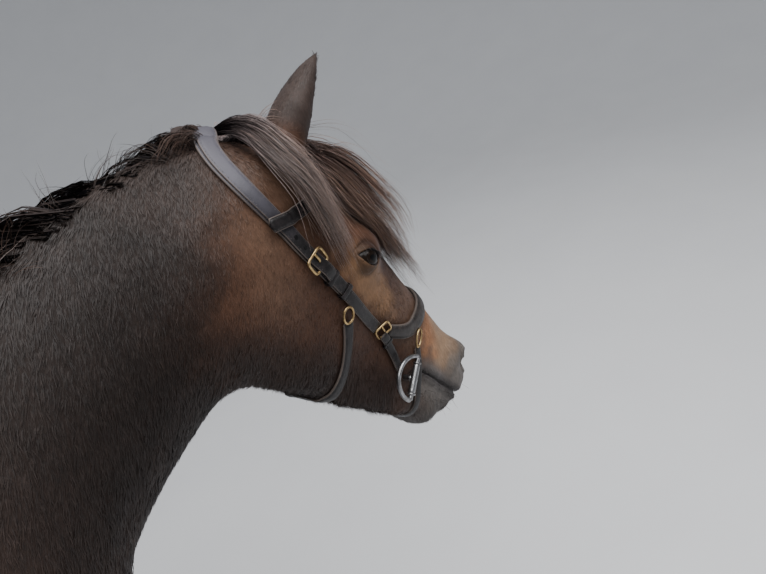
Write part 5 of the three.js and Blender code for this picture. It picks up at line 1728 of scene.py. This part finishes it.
# Finish and slot of coat and hair, by the start of their names
HAIRY = {
    "coat_body": (body_look, "coat"),
    "coat_legs": (body_look, "leg_coat"),
    "coat": (coat_look, "coat"),
    "mane": (mane_look, "hair"),
    "tail": (mane_look, "hair"),
    "": (hair_look, "hair"),
}
# Finish, slot and last word of the name of what else was made, by the start of its name
KINDS = {
    "eye": (eye_look, "eye", "ball"),
    "hoof": (horn_look, "hoof_horn", "horn"),
    "bit_ring": (steel, "bit_steel", "dee"),
    "bit_mouthpiece": (steel, "bit_steel", "bar"),
    "cheek_buckle": (brass, "bridle_brass", "brass"),
    "bit_buckle": (brass, "bridle_brass", "brass"),
    "jaw_ring": (brass, "bridle_brass", "brass"),
    "chin_ring": (brass, "bridle_brass", "brass"),
    "lashes": (hair_look, "hair", "hair"),
    "stitches": (thread_look, "bridle_leather", "thread"),
    "strap_holes": (hole_shadow_look, "bridle_leather", "punched"),
    "headpiece": (sky_lit_leather, "bridle_leather", "leather"),
    "crown_strap": (sky_lit_leather, "bridle_leather", "leather"),
    "noseband": (worn_leather, "bridle_leather", "leather"),
    "": (leather, "bridle_leather", "leather"),
}


def kind_of(name, kinds):
    return next(kind for start, kind in kinds.items() if name.startswith(start))


dress(skin, skin_look)
for kinds, group in ((HAIRY, pieces), (KINDS, made)):
    for name, piece in group.items():
        dress(piece, kind_of(name, kinds)[0])

# Floor with an upturned far edge, soft light from a pale sky and from a wide panel above
FLOOR = {"flat": 5.0, "reach": 13.0, "rise": 7.5, "below": 0.0002}
SKY = {"colour": (0.80, 0.83, 0.88), "strength": 0.40}
PANEL = {"place": (0.7, -0.9, 3.7), "aim": (0.7, 0, 1.2), "size": 3.0, "watts": 185}
floor, far, turn = grid_form("floor", 40, 96)
rim = far * FLOOR["reach"]
lift = FLOOR["rise"] * step(rim, FLOOR["flat"], FLOOR["reach"]) ** 1.5
angle = TURN * turn
move_points(floor, np.stack([rim * np.cos(angle), rim * np.sin(angle), lift - FLOOR["below"]], axis=1))
close_seams(floor)
dress(floor, ground_finish())

world = bpy.data.worlds.new("pale_sky")
bpy.context.scene.world = world
world.use_nodes = True
sky = world.node_tree.nodes["Background"]
sky.inputs["Color"].default_value = (*SKY["colour"], 1)
sky.inputs["Strength"].default_value = SKY["strength"]

deselect()
bpy.ops.object.light_add(type="AREA", location=PANEL["place"])
light = bpy.context.object
light.name = "sky_panel"
light.data.size = PANEL["size"]
light.data.energy = PANEL["watts"]
toward = Vector(PANEL["aim"]) - Vector(PANEL["place"])
light.rotation_euler = toward.to_track_quat("-Z", "Y").to_euler()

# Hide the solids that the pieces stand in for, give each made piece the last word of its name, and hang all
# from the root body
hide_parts(*FLESH, "ear_right", "ear_left")
for node in ("mane", "forelock", "tail"):
    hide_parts(node)
for name, piece in made.items():
    _, slot, word = kind_of(name, KINDS)
    piece.name = piece.data.name = f"{name}_{word}"
    if name in frame["nodes"]:
        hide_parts(name)
for piece in [skin, *pieces.values(), *made.values()]:
    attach(piece, "root")
